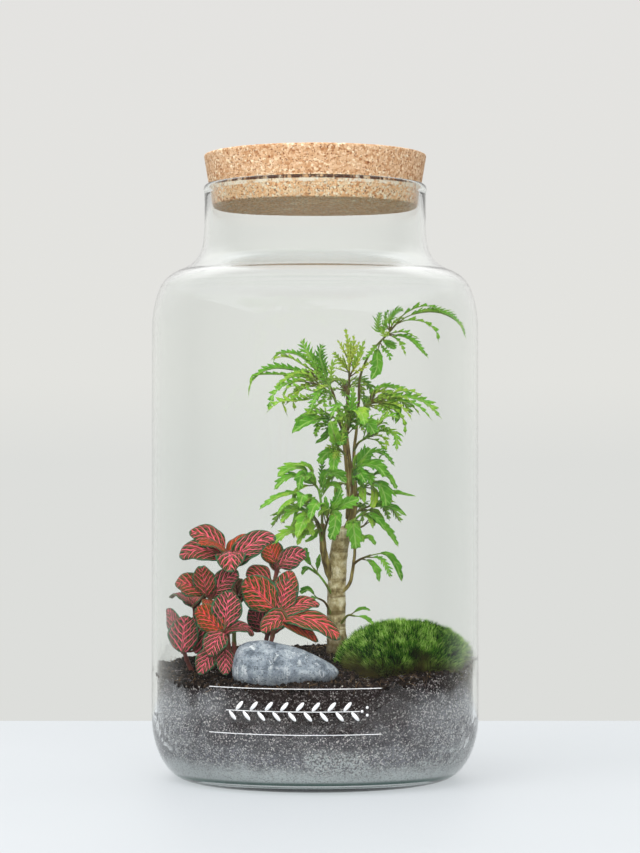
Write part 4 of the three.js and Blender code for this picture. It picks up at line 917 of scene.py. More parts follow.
class Shape:
    """Gathers the points, faces, leaf map and tone of one piece."""

    def __init__(self):
        self.points, self.faces, self.slots, self.map, self.tones = [], [], [], [], []

    def put(self, point, spot=(0.0, 0.0), tone=0.5):
        self.points.append(point)
        self.map.append(spot)
        self.tones.append(tone)
        return len(self.points) - 1

    def face(self, corners, slot=0):
        self.faces.append(corners)
        self.slots.append(slot)

    def rod(self, route, radius_at, sides, steps, slot=0, first=0.0, last=1.0, tone=0.5):
        """A closed round rod along a route, its radius in metres at each share of it."""
        heading = route.along(first)
        side = heading.orthogonal().normalized()
        rings = []
        for j in range(steps + 1):
            u = first + (last - first) * j / steps
            heading = route.along(u)
            side = (side - heading * side.dot(heading)).normalized()
            other = heading.cross(side)
            ring = []
            for k in range(sides):
                turn = 2 * math.pi * k / sides
                reach = radius_at(u, turn)
                ring.append(self.put(route.at(u) + (side * math.cos(turn) + other * math.sin(turn))
                                     * reach, (u, k / sides), tone))
            rings.append(ring)
        for low, high in zip(rings, rings[1:]):
            for k in range(sides):
                after = (k + 1) % sides
                self.face((low[k], low[after], high[after], high[k]), slot)
        foot = self.put(route.at(first), (0.0, 0.5), tone)
        tip = self.put(route.at(last) + route.along(last) * radius_at(last, 0) * 0.5,
                       (1.0, 0.5), tone)
        for k in range(sides):
            self.face((foot, rings[0][(k + 1) % sides], rings[0][k]), slot)
            self.face((tip, rings[-1][k], rings[-1][(k + 1) % sides]), slot)

    def plate(self, points, faces, spots, thickness, tone, slots=(0, 1)):
        """A thin closed plate from a sheet, thinner at its free edges."""
        normals = [Vector() for _ in points]
        edges = {}
        for corners in faces:
            a, b, c = points[corners[0]], points[corners[1]], points[corners[2]]
            normal = (b - a).cross(c - a)
            for i, corner in enumerate(corners):
                normals[corner] += normal
                edges[(corner, corners[(i + 1) % len(corners)])] = True
        free = {i for edge in edges if (edge[1], edge[0]) not in edges for i in edge}
        upper, lower = [], []
        for i, point in enumerate(points):
            out = normals[i].normalized() * thickness * (0.2 if i in free else 0.5)
            upper.append(self.put(point + out, spots[i], tone))
            lower.append(self.put(point - out, spots[i], tone))
        for corners in faces:
            self.face(tuple(upper[i] for i in corners), slots[0])
            self.face(tuple(lower[i] for i in reversed(corners)), slots[1])
        for a, b in edges:
            if (b, a) not in edges:
                self.face((upper[a], lower[a], lower[b], upper[b]), slots[1])

    def piece(self, name, materials):
        one = mesh_piece(name, self.points, self.faces, materials)
        mesh = one.data
        mesh.polygons.foreach_set("material_index", self.slots)
        leaf_map = mesh.uv_layers.new(name="leaf")
        corners = [0] * len(mesh.loops)
        mesh.loops.foreach_get("vertex_index", corners)
        leaf_map.data.foreach_set("uv", [value for i in corners for value in self.map[i]])
        tone = mesh.attributes.new("tone", "FLOAT", "POINT")
        tone.data.foreach_set("value", self.tones)
        return one


bark, tree, shader, place = new_finish("ringed_aralia_bark")
# Young bark: beige-grey with olive and brown stains, raised leaf-scar rings, fine upright
# cracks and small corky dots, matt.
stain = add(tree, "TexNoise", Scale=170.0, Detail=5.0, Roughness=0.65, Vector=place)
colour = add(tree, "ValToRGB", stain,
    stops=[(0.32, "7c6a40"), (0.44, "b09f72"), (0.54, "d2c59d"), (0.66, "efe8cc")])
long_grain = add(tree, "Mapping", Scale=(1.0, 1.0, 0.18), Vector=place)
crack = add(tree, "TexNoise", Scale=900.0, Detail=3.0, Vector=long_grain.outputs["Vector"])
colour = add(tree, "Mix",
    add(tree, "MapRange", crack, 0.56, 0.68, 0.0, 0.6, interpolation_type="SMOOTHSTEP"),
    A_Color=colour, B_Color="5a4a2e", data_type="RGBA")
flat_grain = add(tree, "Mapping", Scale=(0.12, 0.12, 1.0), Vector=place)
ring_mark = add(tree, "TexNoise", Scale=330.0, Detail=2.0, Vector=flat_grain.outputs["Vector"])
colour = add(tree, "Mix",
    add(tree, "MapRange", ring_mark, 0.55, 0.68, 0.0, 0.75, interpolation_type="SMOOTHSTEP"),
    A_Color=colour, B_Color="6d5931", data_type="RGBA")
apart = add(tree, "SeparateXYZ", Vector=place)
colour = add(tree, "Mix",
    add(tree, "MapRange", apart.outputs["Z"], 0.092, 0.076, 0.0, 0.7,
        interpolation_type="SMOOTHSTEP"), A_Color=colour, B_Color="4b3c24", data_type="RGBA")
fit(tree, shader, Base_Color=colour, Roughness=0.8)
relief = add(tree, "Math", add(tree, "Math", crack, -0.6, operation="MULTIPLY"),
    add(tree, "Math", ring_mark, -0.8, operation="MULTIPLY"), operation="ADD")
rough_bark = add(tree, "Bump", Strength=0.8, Distance=0.0006, Height=relief)
fit(tree, shader, Normal=rough_bark)

young_wood, tree, shader, place = new_finish("young_woody_stems")
# First-year wood: olive brown, darker in streaks, a dull skin.
streaky = add(tree, "Mapping", Scale=(1.0, 1.0, 0.15), Vector=place)
streak = add(tree, "TexNoise", Scale=600.0, Detail=3.0, Vector=streaky.outputs["Vector"])
fit(tree, shader,
    Base_Color=add(tree, "ValToRGB", streak,
        stops=[(0.35, "54452a"), (0.5, "857240"), (0.62, "a89a5a"), (0.72, "cbbb88")]),
    Roughness=0.65)


def trunk_radius(u, turn):
    """Radius of the trunk in metres: a flare at the soil, a ridge at each leaf scar."""
    along = u * TRUNK_LENGTH
    flare = 1.2 * math.exp(-abs(along - 22) / 6)
    scar = 0.3 * max(0.0, math.cos(2 * math.pi * along / SCAR_SPACING + 0.5 * math.sin(turn))) ** 5
    lump = 0.35 * noise.noise(Vector((math.cos(turn) * 1.3, math.sin(turn) * 1.3, along * 0.09)))
    fine = 0.12 * noise.noise(Vector((math.cos(turn) * 4, math.sin(turn) * 4, along * 0.5)))
    return (TRUNK_RADIUS - 0.1 + flare + scar + lump + fine - 0.5 * u) * MM


wood = Shape()
wood.rod(Route(TRUNK), trunk_radius, 48, 190, 0)
for first_radius, last_radius, spots in WOODY_STEMS:
    def stem_radius(u, turn, first_radius=first_radius, last_radius=last_radius):
        knot = 0.12 * math.cos(u * 34 + first_radius * 5) * math.cos(turn)
        return (first_radius + (last_radius - first_radius) * u) * (1 + knot * 0.6) * MM
    wood.rod(Route(spots), stem_radius, 14, 60, 1)
trunk = wood.piece("trunk_and_woody_stems", [bark, young_wood])
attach(trunk, "root")
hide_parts("aralia_trunk")


# Aralia sprays: thin green stalks from the wood, each with a few leaflets that part from it.
# Every leaflet has a rib, a folded blade 0.3 mm thick, and margins cut into forward teeth.

UP_FRONT, UP_BACK, FRONT = (0, -0.6, 0.8), (0, 0.6, 0.8), (0, -1, 0.15)
RIGHT_FRONT, LEFT_FRONT = (0.5, -0.7, 0.5), (-0.5, -0.7, 0.5)
LEAFLET_SPACING, LEAFLET_BARE, BLADE_THICKNESS = 3.0, 0.2, 0.32
SPRIG_SHARE, SPRIG_BREADTH, MIDDLE_SPRIG_BREADTH = 0.68, 0.48, 0.6

# Cuts of a leaflet: teeth on a side, depth of the cut as a share, forward lean of the teeth,
# how far their tips curl up from the blade, how uneven they are, and breadth as a share.
CUTS = {
    "arch": (9, 0.5, 1.15, 0.0, 0.2, 0.75),
    "long_arch": (16, 0.5, 1.2, 0.0, 0.25, 0.75),
    "feather": (8, 0.85, 0.9, 0.35, 0.35, 0.8),
    "cut": (7, 0.7, 1.1, 0.1, 0.35, 0.85),
    "serrate": (5, 0.34, 1.35, 0.0, 0.3, 0.74),
    "broad": (4, 0.24, 1.15, -0.1, 0.3, 0.86),
    "lance": (3, 0.22, 1.3, -0.1, 0.3, 0.76),
    "young": (5, 0.85, 1.1, 0.3, 0.4, 1.0),
}

# Each spray: its tone from deep to yellow green, its stalk, and its leaflets as the kind of
# cut, half width, the way its face looks, fold in degrees and the points of its rib.
SPRAYS = {
    "aralia_crown_left_high": (0.45, ((14, 5, 226), (9, 1, 240), (1, -3, 248)), [
        ("arch", 5.5, UP_FRONT, 44,
         ((-13, -8, 249), (-24, -12, 250), (-33, -15, 247), (-40, -17, 240))),
        ("arch", 2.4, UP_FRONT, 40, ((-34, -16, 246), (-39, -19, 240), (-40.5, -20, 232))),
        ("arch", 4, UP_FRONT, 40, ((-8, -1, 257), (-17, 2, 260), (-23, 3, 259), (-26, 3, 254))),
        ("feather", 6.5, FRONT, 22, ((-4, -3, 259), (-9, -3, 269))),
        ("feather", 6, FRONT, 22, ((3, -5, 257), (5, -6, 266))),
    ]),
    "aralia_crown_left_middle": (0.5, ((16, 3, 222), (11, -6, 233), (3, -10, 240)), [
        ("feather", 5, UP_FRONT, 22,
         ((-9, -16, 242), (-18, -20, 240), (-25, -24, 234), (-28, -26, 223))),
        ("cut", 3, UP_FRONT, 22, ((-8, -11, 245), (-17, -14, 244), (-25, -17, 238))),
        ("feather", 4.4, UP_FRONT, 22,
         ((-4, -17, 231), (-13, -24, 230), (-22, -28, 229), (-30, -32, 222))),
        ("cut", 4.6, UP_FRONT, 22, ((4, -18, 237), (0, -27, 231), (-3, -32, 224))),
    ]),
    "aralia_crown_left_low": (0.4, ((17, 2, 212), (14, -4, 218), (9, -9, 222)), [
        ("lance", 4.6, UP_FRONT, 22, ((-1, -15, 223), (-8, -20, 218), (-14, -24, 210))),
        ("broad", 6.5, UP_FRONT, 22, ((5, -18, 219), (-4, -26, 217), (-13, -31, 211))),
        ("lance", 3.6, UP_FRONT, 22, ((9, -14, 212), (5, -17, 207), (0, -19, 204))),
    ]),
    "aralia_crown_top": (0.75, ((20, 10, 226), (21, 9, 240), (21, 7, 255)), [
        ("young", 2.4, FRONT, 22, ((20.5, 6, 264), (18.5, 5, 276))),
        ("young", 2.2, FRONT, 22, ((23.5, 5, 263), (24, 3, 272))),
        ("young", 3, LEFT_FRONT, 22, ((15, 2, 256), (11, -2, 261))),
        ("young", 3, FRONT, 22, ((27, 4, 259), (31, 2, 269))),
    ]),
    "aralia_crown_right_high": (0.4, ((27, 13, 229), (28, 11, 246), (34, 8, 260), (43, 5, 270),
                                      (51, 2, 279)), [
        ("long_arch", 5.2, UP_FRONT, 52,
         ((58, 0, 283), (70, -3, 285), (80, -6, 283), (88, -9, 277), (92, -11, 268))),
        ("feather", 5, FRONT, 22, ((39, 3, 275), (40, 1, 286))),
        ("cut", 3.4, FRONT, 22, ((46, 4, 280), (50, 5, 286), (55, 6, 287))),
        ("arch", 4.2, UP_FRONT, 32, ((49, 0, 271), (58, -6, 268), (64, -10, 262), (69, -13, 256))),
        ("broad", 4, UP_FRONT, 22, ((43, 1, 267), (49, -3, 262))),
        ("broad", 5.4, FRONT, 22, ((38, -1, 259), (38, -7, 251), (34, -10, 243))),
    ]),
    "aralia_crown_right_middle": (0.5, ((26, 13.6, 219), (31, 8.5, 227), (40, 2, 231)), [
        ("cut", 4.6, UP_FRONT, 22, ((49, -3, 233), (60, -8, 232), (69, -12, 228), (77, -16, 219))),
        ("cut", 2.6, UP_FRONT, 22, ((55, -9, 230), (64, -15, 226), (71, -19, 218))),
        ("arch", 4.2, UP_FRONT, 30, ((38, 8, 238), (48, 6, 239), (56, 5, 236), (61, 4, 231))),
        ("lance", 3.6, FRONT, 22, ((49, -3, 227), (51, -5, 222), (49, -6, 216))),
    ]),
    "aralia_crown_right_low": (0.45, ((24, 14, 200), (27, 8, 205), (32, 4, 208)), [
        ("cut", 4.6, UP_FRONT, 22, ((41, -1, 212), (49, -5, 209), (50, -7, 199))),
        ("cut", 4.6, UP_FRONT, 22, ((36, -4, 214), (45, -9, 221), (52, -12, 219))),
    ]),
    "aralia_crown_front": (0.45, ((18, 2, 204), (20, -4, 212), (21, -9, 220)), [
        ("broad", 6.5, UP_FRONT, 22, ((25, -14, 217), (32, -20, 216), (36, -23, 210))),
        ("broad", 5.6, UP_FRONT, 22, ((24, -17, 224), (28, -24, 222), (30, -28, 215))),
        ("cut", 5.6, UP_FRONT, 22, ((18, -18, 226), (13, -26, 226), (9, -31, 219))),
        ("lance", 5, FRONT, 22, ((17, -13, 210), (15, -19, 203))),
        ("cut", 5.4, FRONT, 22, ((23, -12, 232), (22, -15, 240))),
    ]),
    "aralia_crown_centre": (0.5, ((20, 7, 195), (17, -1, 199), (14, -8, 202)), [
        ("lance", 5.4, FRONT, 22, ((12, -20, 208), (9, -24, 218))),
        ("lance", 5.4, FRONT, 22, ((12, -13, 196), (11, -17, 188))),
        ("lance", 4.6, FRONT, 22, ((8, -11, 199), (2, -14, 192))),
    ]),
    "aralia_middle_right_high": (0.35, ((24, 9, 176), (23, 2, 184), (23, -3, 189)), [
        ("broad", 6, FRONT, 22, ((29, -7, 195), (34, -9, 201))),
        ("broad", 6.5, UP_FRONT, 22, ((30, -9, 191), (38, -13, 190), (43, -15, 184))),
        ("arch", 4, UP_FRONT, 22, ((33, -4, 198), (42, -6, 198), (49, -8, 190))),
        ("broad", 5.6, FRONT, 22, ((27, -12, 186), (31, -18, 180))),
    ]),
    "aralia_middle_right": (0.5, ((24, 10, 168), (28, 4, 175), (32, 0, 180)), [
        ("serrate", 4, UP_FRONT, 22, ((38, -4, 186), (45, -7, 184), (50, -9, 176))),
        ("broad", 7.5, RIGHT_FRONT, 22, ((38, -7, 180), (42, -11, 173), (43, -13, 166))),
        ("lance", 3.2, UP_FRONT, 22, ((36, 4, 173), (48, 2, 174), (62, 0, 172))),
        ("lance", 3.6, FRONT, 22, ((29, -5, 176), (30, -9, 168))),
    ]),
    "aralia_middle_right_low": (0.4, ((23, 6, 156), (27, 2, 160), (30, -1, 162)), [
        ("lance", 4, UP_FRONT, 22, ((38, -4, 166), (48, -6, 165), (56, -8, 160))),
        ("lance", 3.8, UP_FRONT, 22, ((34, -6, 161), (39, -9, 157), (43, -11, 151))),
    ]),
    "aralia_middle_right_shoot": (0.4, ((23.6, 3, 149), (26, 1, 152), (30, 0, 154)), [
        ("serrate", 4.2, UP_FRONT, 22, ((37, -2, 158), (44, -3, 152), (51, -4, 141))),
        ("lance", 3, UP_FRONT, 22, ((29, -1, 146), (33, -3, 147), (37, -4, 142))),
        ("broad", 6.5, FRONT, 22, ((23, -8, 156), (24, -12, 149), (25, -13, 140))),
    ]),
    "aralia_middle_left_high": (0.45, ((4.4, 2, 152), (4, 0, 165), (2, -2, 176), (-2, -4, 182)), [
        ("broad", 5.5, UP_FRONT, 22, ((-8, -7, 189), (-15, -9, 189), (-23, -11, 184))),
        ("serrate", 5, UP_FRONT, 22, ((-11, -10, 184), (-18, -13, 183), (-25, -15, 176))),
        ("broad", 5, FRONT, 22, ((-7, -14, 185), (-9, -19, 182), (-10, -22, 176))),
        ("feather", 3.2, FRONT, 22, ((4, -3, 187), (4.5, -4, 199))),
        ("broad", 6, UP_FRONT, 22, ((7, -7, 185), (14, -10, 185), (19, -12, 180))),
    ]),
    "aralia_middle_left": (0.5, ((5, 2.5, 142), (0, -4, 158), (-6, -8, 170)), [
        ("serrate", 4.2, UP_FRONT, 22, ((-14, -12, 174), (-24, -16, 171), (-34, -20, 164))),
        ("lance", 3.2, UP_FRONT, 22, ((-11, -17, 170), (-18, -22, 167), (-23, -25, 161))),
        ("broad", 5.6, UP_FRONT, 22, ((-6, -18, 173), (-8, -26, 171), (-9, -31, 165))),
    ]),
    "aralia_middle_left_low": (0.5, ((4.4, 2, 150), (2, -5, 156), (0, -9, 159)), [
        ("serrate", 4.4, UP_FRONT, 22, ((-8, -15, 164), (-15, -20, 162), (-21, -23, 156))),
        ("broad", 6, UP_FRONT, 22, ((-4, -20, 161), (-8, -27, 155), (-11, -31, 147))),
        ("serrate", 5.5, UP_FRONT, 22, ((-7, -11, 152), (-17, -16, 150), (-26, -22, 143))),
        ("lance", 3, UP_FRONT, 22, ((-1, -7, 147), (-6, -9, 144))),
    ]),
    "aralia_middle_front": (0.4, ((4.6, 1, 146), (7, -7, 155), (10, -12, 162)), [
        ("broad", 5, FRONT, 22, ((17, -17, 167), (27, -21, 171))),
        ("broad", 6, FRONT, 22, ((12, -21, 161), (12, -25, 154), (9, -27, 146))),
        ("serrate", 4.6, FRONT, 22, ((13, -17, 170), (16, -19, 177))),
        ("broad", 5.4, UP_FRONT, 22, ((3, -21, 168), (-1, -29, 165), (-3, -34, 158))),
    ]),
    "aralia_shoot_left": (0.35, ((10, 4, 112), (6, 1, 119), (-1, -3, 128)), [
        ("lance", 3, FRONT, 22, ((-5, -5, 134), (-6, -6, 141))),
        ("lance", 2.4, FRONT, 22, ((2, -6, 132), (3, -8, 137))),
        ("lance", 3, UP_FRONT, 22, ((-5, -7, 128), (-8, -10, 124))),
    ]),
    "aralia_shoot_left_low": (0.3, ((10, 4, 99), (6, 0, 107), (1, -4, 110)), [
        ("lance", 4, UP_FRONT, 22, ((-4, -6, 115), (-9, -8, 113))),
        ("lance", 3, UP_FRONT, 22, ((-1, -9, 110), (-3, -12, 106))),
    ]),
    "aralia_shoot_right": (0.45, ((23.4, 2, 130), (27, 0, 133), (34, -2, 136)), [
        ("lance", 4, UP_FRONT, 22, ((43, -5, 137), (49, -7, 131), (53, -8, 120))),
        ("cut", 3.6, UP_FRONT, 22, ((40, -8, 134), (44, -11, 128), (46, -12, 122))),
        ("lance", 3.4, UP_FRONT, 22, ((34, -8, 132), (38, -12, 126), (39, -13, 120))),
    ]),
    "aralia_shoot_right_low": (0.4, ((16, 3, 94), (20, -1, 99), (24, -4, 99)), [
        ("lance", 2.6, UP_FRONT, 22, ((30, -7, 98), (36, -9, 94))),
        ("lance", 2.4, UP_FRONT, 22, ((28, -1, 103), (34, 0, 102))),
    ]),
}

# Sprays behind the tree: root of the stalk, heading in degrees, rise and reach.
BACK_SPRAYS = {
    "aralia_crown_back": ((20, 11, 222), 92, 19, 36),
    "aralia_crown_back_right": ((26, 15, 216), 48, 15, 36),
    "aralia_middle_back_left": ((4.5, 3, 148), 138, 14, 32),
    "aralia_middle_back": ((23.6, 9, 170), 96, 12, 33),
    "aralia_middle_back_right": ((22, 8, 157), 44, 7, 32),
}


def turned_from(root, heading, out, rise):
    angle = math.radians(heading)
    return (root[0] + out * math.cos(angle), root[1] + out * math.sin(angle), root[2] + rise)


for name, (root, heading, rise, reach) in BACK_SPRAYS.items():
    fork = turned_from(root, heading, reach * 0.34, rise)
    leaflets = [("cut", 5, UP_BACK, 22, (
        turned_from(fork, heading + turn, reach * 0.3, 3),
        turned_from(fork, heading + turn, reach * 0.56, 1 - i),
        turned_from(fork, heading + turn, reach * 0.74, -8 - i),
    )) for i, turn in enumerate((0, -46, 46))]
    bow = turned_from(root, heading, reach * 0.17, rise * 0.7)
    SPRAYS[name] = (0.45, (root, bow, fork), leaflets)


def leaf_skin(name, deep, middle, yellow, vein_colour, gloss):
    """The skin of a green leaf: tone from deep to yellow green, paler ribs, faint mottling."""
    material, tree, shader, place = new_finish(name)
    leaf_map = add(tree, "SeparateXYZ", Vector=add(tree, "UVMap", uv_map="leaf").outputs["UV"])
    tone = add(tree, "Attribute", attribute_name="tone").outputs["Fac"]
    mottling = add(tree, "TexNoise", Scale=160.0, Detail=4.0, Vector=place)
    mixed = add(tree, "Math", tone,
        add(tree, "Math", add(tree, "Math", mottling, 0.5, operation="SUBTRACT"), 0.7,
            operation="MULTIPLY"), operation="ADD")
    colour = add(tree, "ValToRGB", mixed, stops=[(0.1, deep), (0.5, middle), (0.95, yellow)])
    from_rib = add(tree, "Math",
        add(tree, "Math", leaf_map.outputs["Y"], 0.5, operation="SUBTRACT"), operation="ABSOLUTE")
    rib = add(tree, "MapRange", from_rib, 0.02, 0.05, 0.55, 0.0, interpolation_type="SMOOTHSTEP")
    in_tooth = add(tree, "Math",
        add(tree, "Math", add(tree, "Math", leaf_map.outputs["X"], operation="FRACT"), 0.5,
            operation="SUBTRACT"), operation="ABSOLUTE")
    side_vein = add(tree, "MapRange", in_tooth, 0.03, 0.09, 0.35, 0.0,
        interpolation_type="SMOOTHSTEP")
    colour = add(tree, "Mix", add(tree, "Math", rib, side_vein, operation="MAXIMUM"),
        A_Color=colour, B_Color=vein_colour, data_type="RGBA")
    fit(tree, shader, Base_Color=colour, Roughness=gloss, Specular_IOR_Level=0.3,
        Subsurface_Weight=0.3, Subsurface_Radius=(0.6, 1.0, 0.25), Subsurface_Scale=0.0008)
    raised = add(tree, "Bump", Strength=0.35, Distance=0.0003,
        Height=add(tree, "Math", rib, side_vein, operation="MAXIMUM"))
    fit(tree, shader, Normal=raised)
    return material


# Upper side: fresh green with a soft sheen. Under side: paler and duller.
leaf_top = leaf_skin("aralia_leaf_upper_side", "2e6818", "68a42e", "b4c84a", "b4d67c", 0.42)
leaf_under = leaf_skin("aralia_leaf_under_side", "5a8c32", "8bb44c", "bfca66", "c4d88c", 0.6)

stalk_skin, tree, shader, place = new_finish("aralia_stalks")
# Leaf stalks: smooth green, flushed dark red-brown here and there.
flush = add(tree, "TexNoise", Scale=70.0, Detail=2.0, Vector=place)
fit(tree, shader,
    Base_Color=add(tree, "ValToRGB", flush,
        stops=[(0.38, "5b4a2c"), (0.5, "6f7a35"), (0.62, "7fae45")]), Roughness=0.45)


def leaflet(shape, rib_points, half, face, fold, cut, tone, chance):
    """One leaflet: a folded blade with teeth on both sides of a rib."""
    teeth, depth, lean, curl, uneven, breadth = CUTS[cut]
    rib = Route(rib_points, 14)
    length = rib.length
    half = half * MM
    facing = Vector(face)
    slope = math.radians(fold)
    bare = LEAFLET_BARE

    def laid(along, across, lift):
        u = along / length
        heading = rib.along(u)
        side = facing.cross(heading).normalized()
        up = heading.cross(side)
        return (rib.at(u) + side * across * math.cos(slope)
                + up * (abs(across) * math.sin(slope) + lift))

    def outline(u):
        share = min(max((u - bare) / (1 - bare), 0.0), 1.0)
        return 2.45 * breadth * (share + 0.04) ** 0.55 * (1.04 - share) ** 1.05

    points, faces, spots, made = [], [], [], {}

    def put(key, along, across, lift, column):
        if key not in made:
            made[key] = len(points)
            points.append(laid(along, across, lift))
            spots.append((column, 0.5 + 0.5 * across / half))
        return made[key]

    last = 0.93
    tooth = (last - bare) * length / teeth
    sway = chance.uniform(0, 6.28)
    for hand in (1, -1):
        reaches = [half * outline(bare + (last - bare) * j / teeth) for j in range(teeth + 1)]
        for i in range(teeth):
            start = bare * length + tooth * i
            centre = start + tooth / 2
            reach = half * outline(centre / length) * (1 + uneven * chance.uniform(-1, 1))
            tip_lift = curl * reach * chance.uniform(0.3, 1.4)
            tip = (centre + lean * reach * 1.08, reach)
            rows = []
            for r, s in enumerate((0.0, 0.5 * (1 - depth), 1 - depth)):
                row = []
                for c in range(3):
                    if c == 1:
                        across = (reaches[i] + reaches[i + 1]) / 2 * s * 1.03
                        at = centre
                        key = ("c", hand if r else 0, i, r)
                    else:
                        j = i + c // 2
                        across = reaches[j] * s
                        at = bare * length + tooth * j
                        key = ("b", hand if r else 0, j, r)
                    wave = 0.05 * half * math.sin(at * 520 + sway) * s
                    row.append((at + lean * across, across, wave, key, i + c / 2))
                rows.append(row)
            base = rows[-1]
            for r, (t, broad) in enumerate(((0.24, 0.7), (0.46, 0.8), (0.54, 0.44), (0.8, 0.24))):
                row = []
                middle_at = base[1][0] + (tip[0] - base[1][0]) * t
                middle_across = base[1][1] + (tip[1] - base[1][1]) * t
                for c in range(3):
                    at, across, wave, _, column = base[c]
                    row.append((middle_at + (at - base[1][0]) * broad,
                                middle_across + (across - base[1][1]) * broad,
                                wave + tip_lift * t * t, ("f", hand, i, r, c), column))
                rows.append(row)
            grid = [[put(key, at, across * hand, lift, column)
                     for at, across, lift, key, column in row] for row in rows]
            point = put(("t", hand, i), tip[0], tip[1] * hand, tip_lift, i + 0.5)
            for low, high in zip(grid, grid[1:]):
                for c in (0, 1):
                    quad = (low[c], low[c + 1], high[c + 1], high[c])
                    faces.append(quad if hand > 0 else quad[::-1])
            for c in (0, 1):
                corner = (grid[-1][c], grid[-1][c + 1], point)
                faces.append(corner if hand > 0 else corner[::-1])
        end = put(("end",), length, 0, 0, teeth + 0.5)
        edge = [made[("b", hand if r else 0, teeth, r)] for r in range(3)]
        for a, b in zip(edge, edge[1:]):
            faces.append((a, end, b) if hand > 0 else (b, end, a))
    shape.plate(points, faces, spots, BLADE_THICKNESS * MM, tone)
    shape.rod(rib, lambda u, turn: (0.42 - 0.28 * u) * MM, 6, 14, 2, 0.0, 0.97, tone)


def sprig(shape, foot, spots, half, face, tone, lean, cut, chance):
    """A smaller leaflet beside a larger one, from the same foot."""
    spread = Matrix.Rotation(math.radians(lean * chance.uniform(14, 38)), 3, "Y")
    rise = chance.uniform(-2.5, 3.5)
    start, places = Vector(foot), []
    for i, spot in enumerate(spots):
        step = spread @ ((Vector(spot) - start) * SPRIG_SHARE)
        places.append(tuple(start + step + Vector((0, -1.2, rise * (i + 1) / len(spots)))))
    leaflet(shape, (foot, *places), max(1.8, half), face, 22, cut,
            tone + chance.uniform(0.0, 0.3), chance)


spray_finishes = [leaf_top, leaf_under, stalk_skin]
for name, (tone, stalk, leaflets) in SPRAYS.items():
    chance = random.Random(name)
    spray = Shape()
    stem = Route(stalk)
    spray.rod(stem, lambda u, turn: (0.85 - 0.25 * u) * MM, 8, 18, 2)
    for i, (cut, half, face, fold, spots) in enumerate(leaflets):
        share = max(0.3, 0.97 - LEAFLET_SPACING * MM * i / stem.length)
        foot = tuple(stem.at(share) / MM)
        sprigs = random.Random(name + str(i))
        if "crown" in name:
            for lean in (-1, 1) if "high" in name else (-1, 0.3, 1):
                sprig(spray, foot, spots, half * SPRIG_BREADTH, face, tone, lean, "young", sprigs)
        elif "middle" in name:
            lean = sprigs.choice((-1, 1))
            sprig(spray, foot, spots, half * MIDDLE_SPRIG_BREADTH, face, tone, lean, "lance",
                  sprigs)
        own_tone = tone + chance.uniform(-0.15, 0.15)
        leaflet(spray, (foot, *spots), half, face, fold, cut, own_tone, chance)
    piece = spray.piece(name + "_leaves", spray_finishes)
    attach(piece, "root")
    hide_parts(name)


# Fittonia shoots: fleshy reddish stems from the soil with pairs of oval leaves, quilted between
# the veins. Rib, side veins and their net are pink to orange-red on dark green.

LEAF_SPACING, PETIOLE_SHARE, FITTONIA_THICKNESS = 2.6, 0.18, 0.5

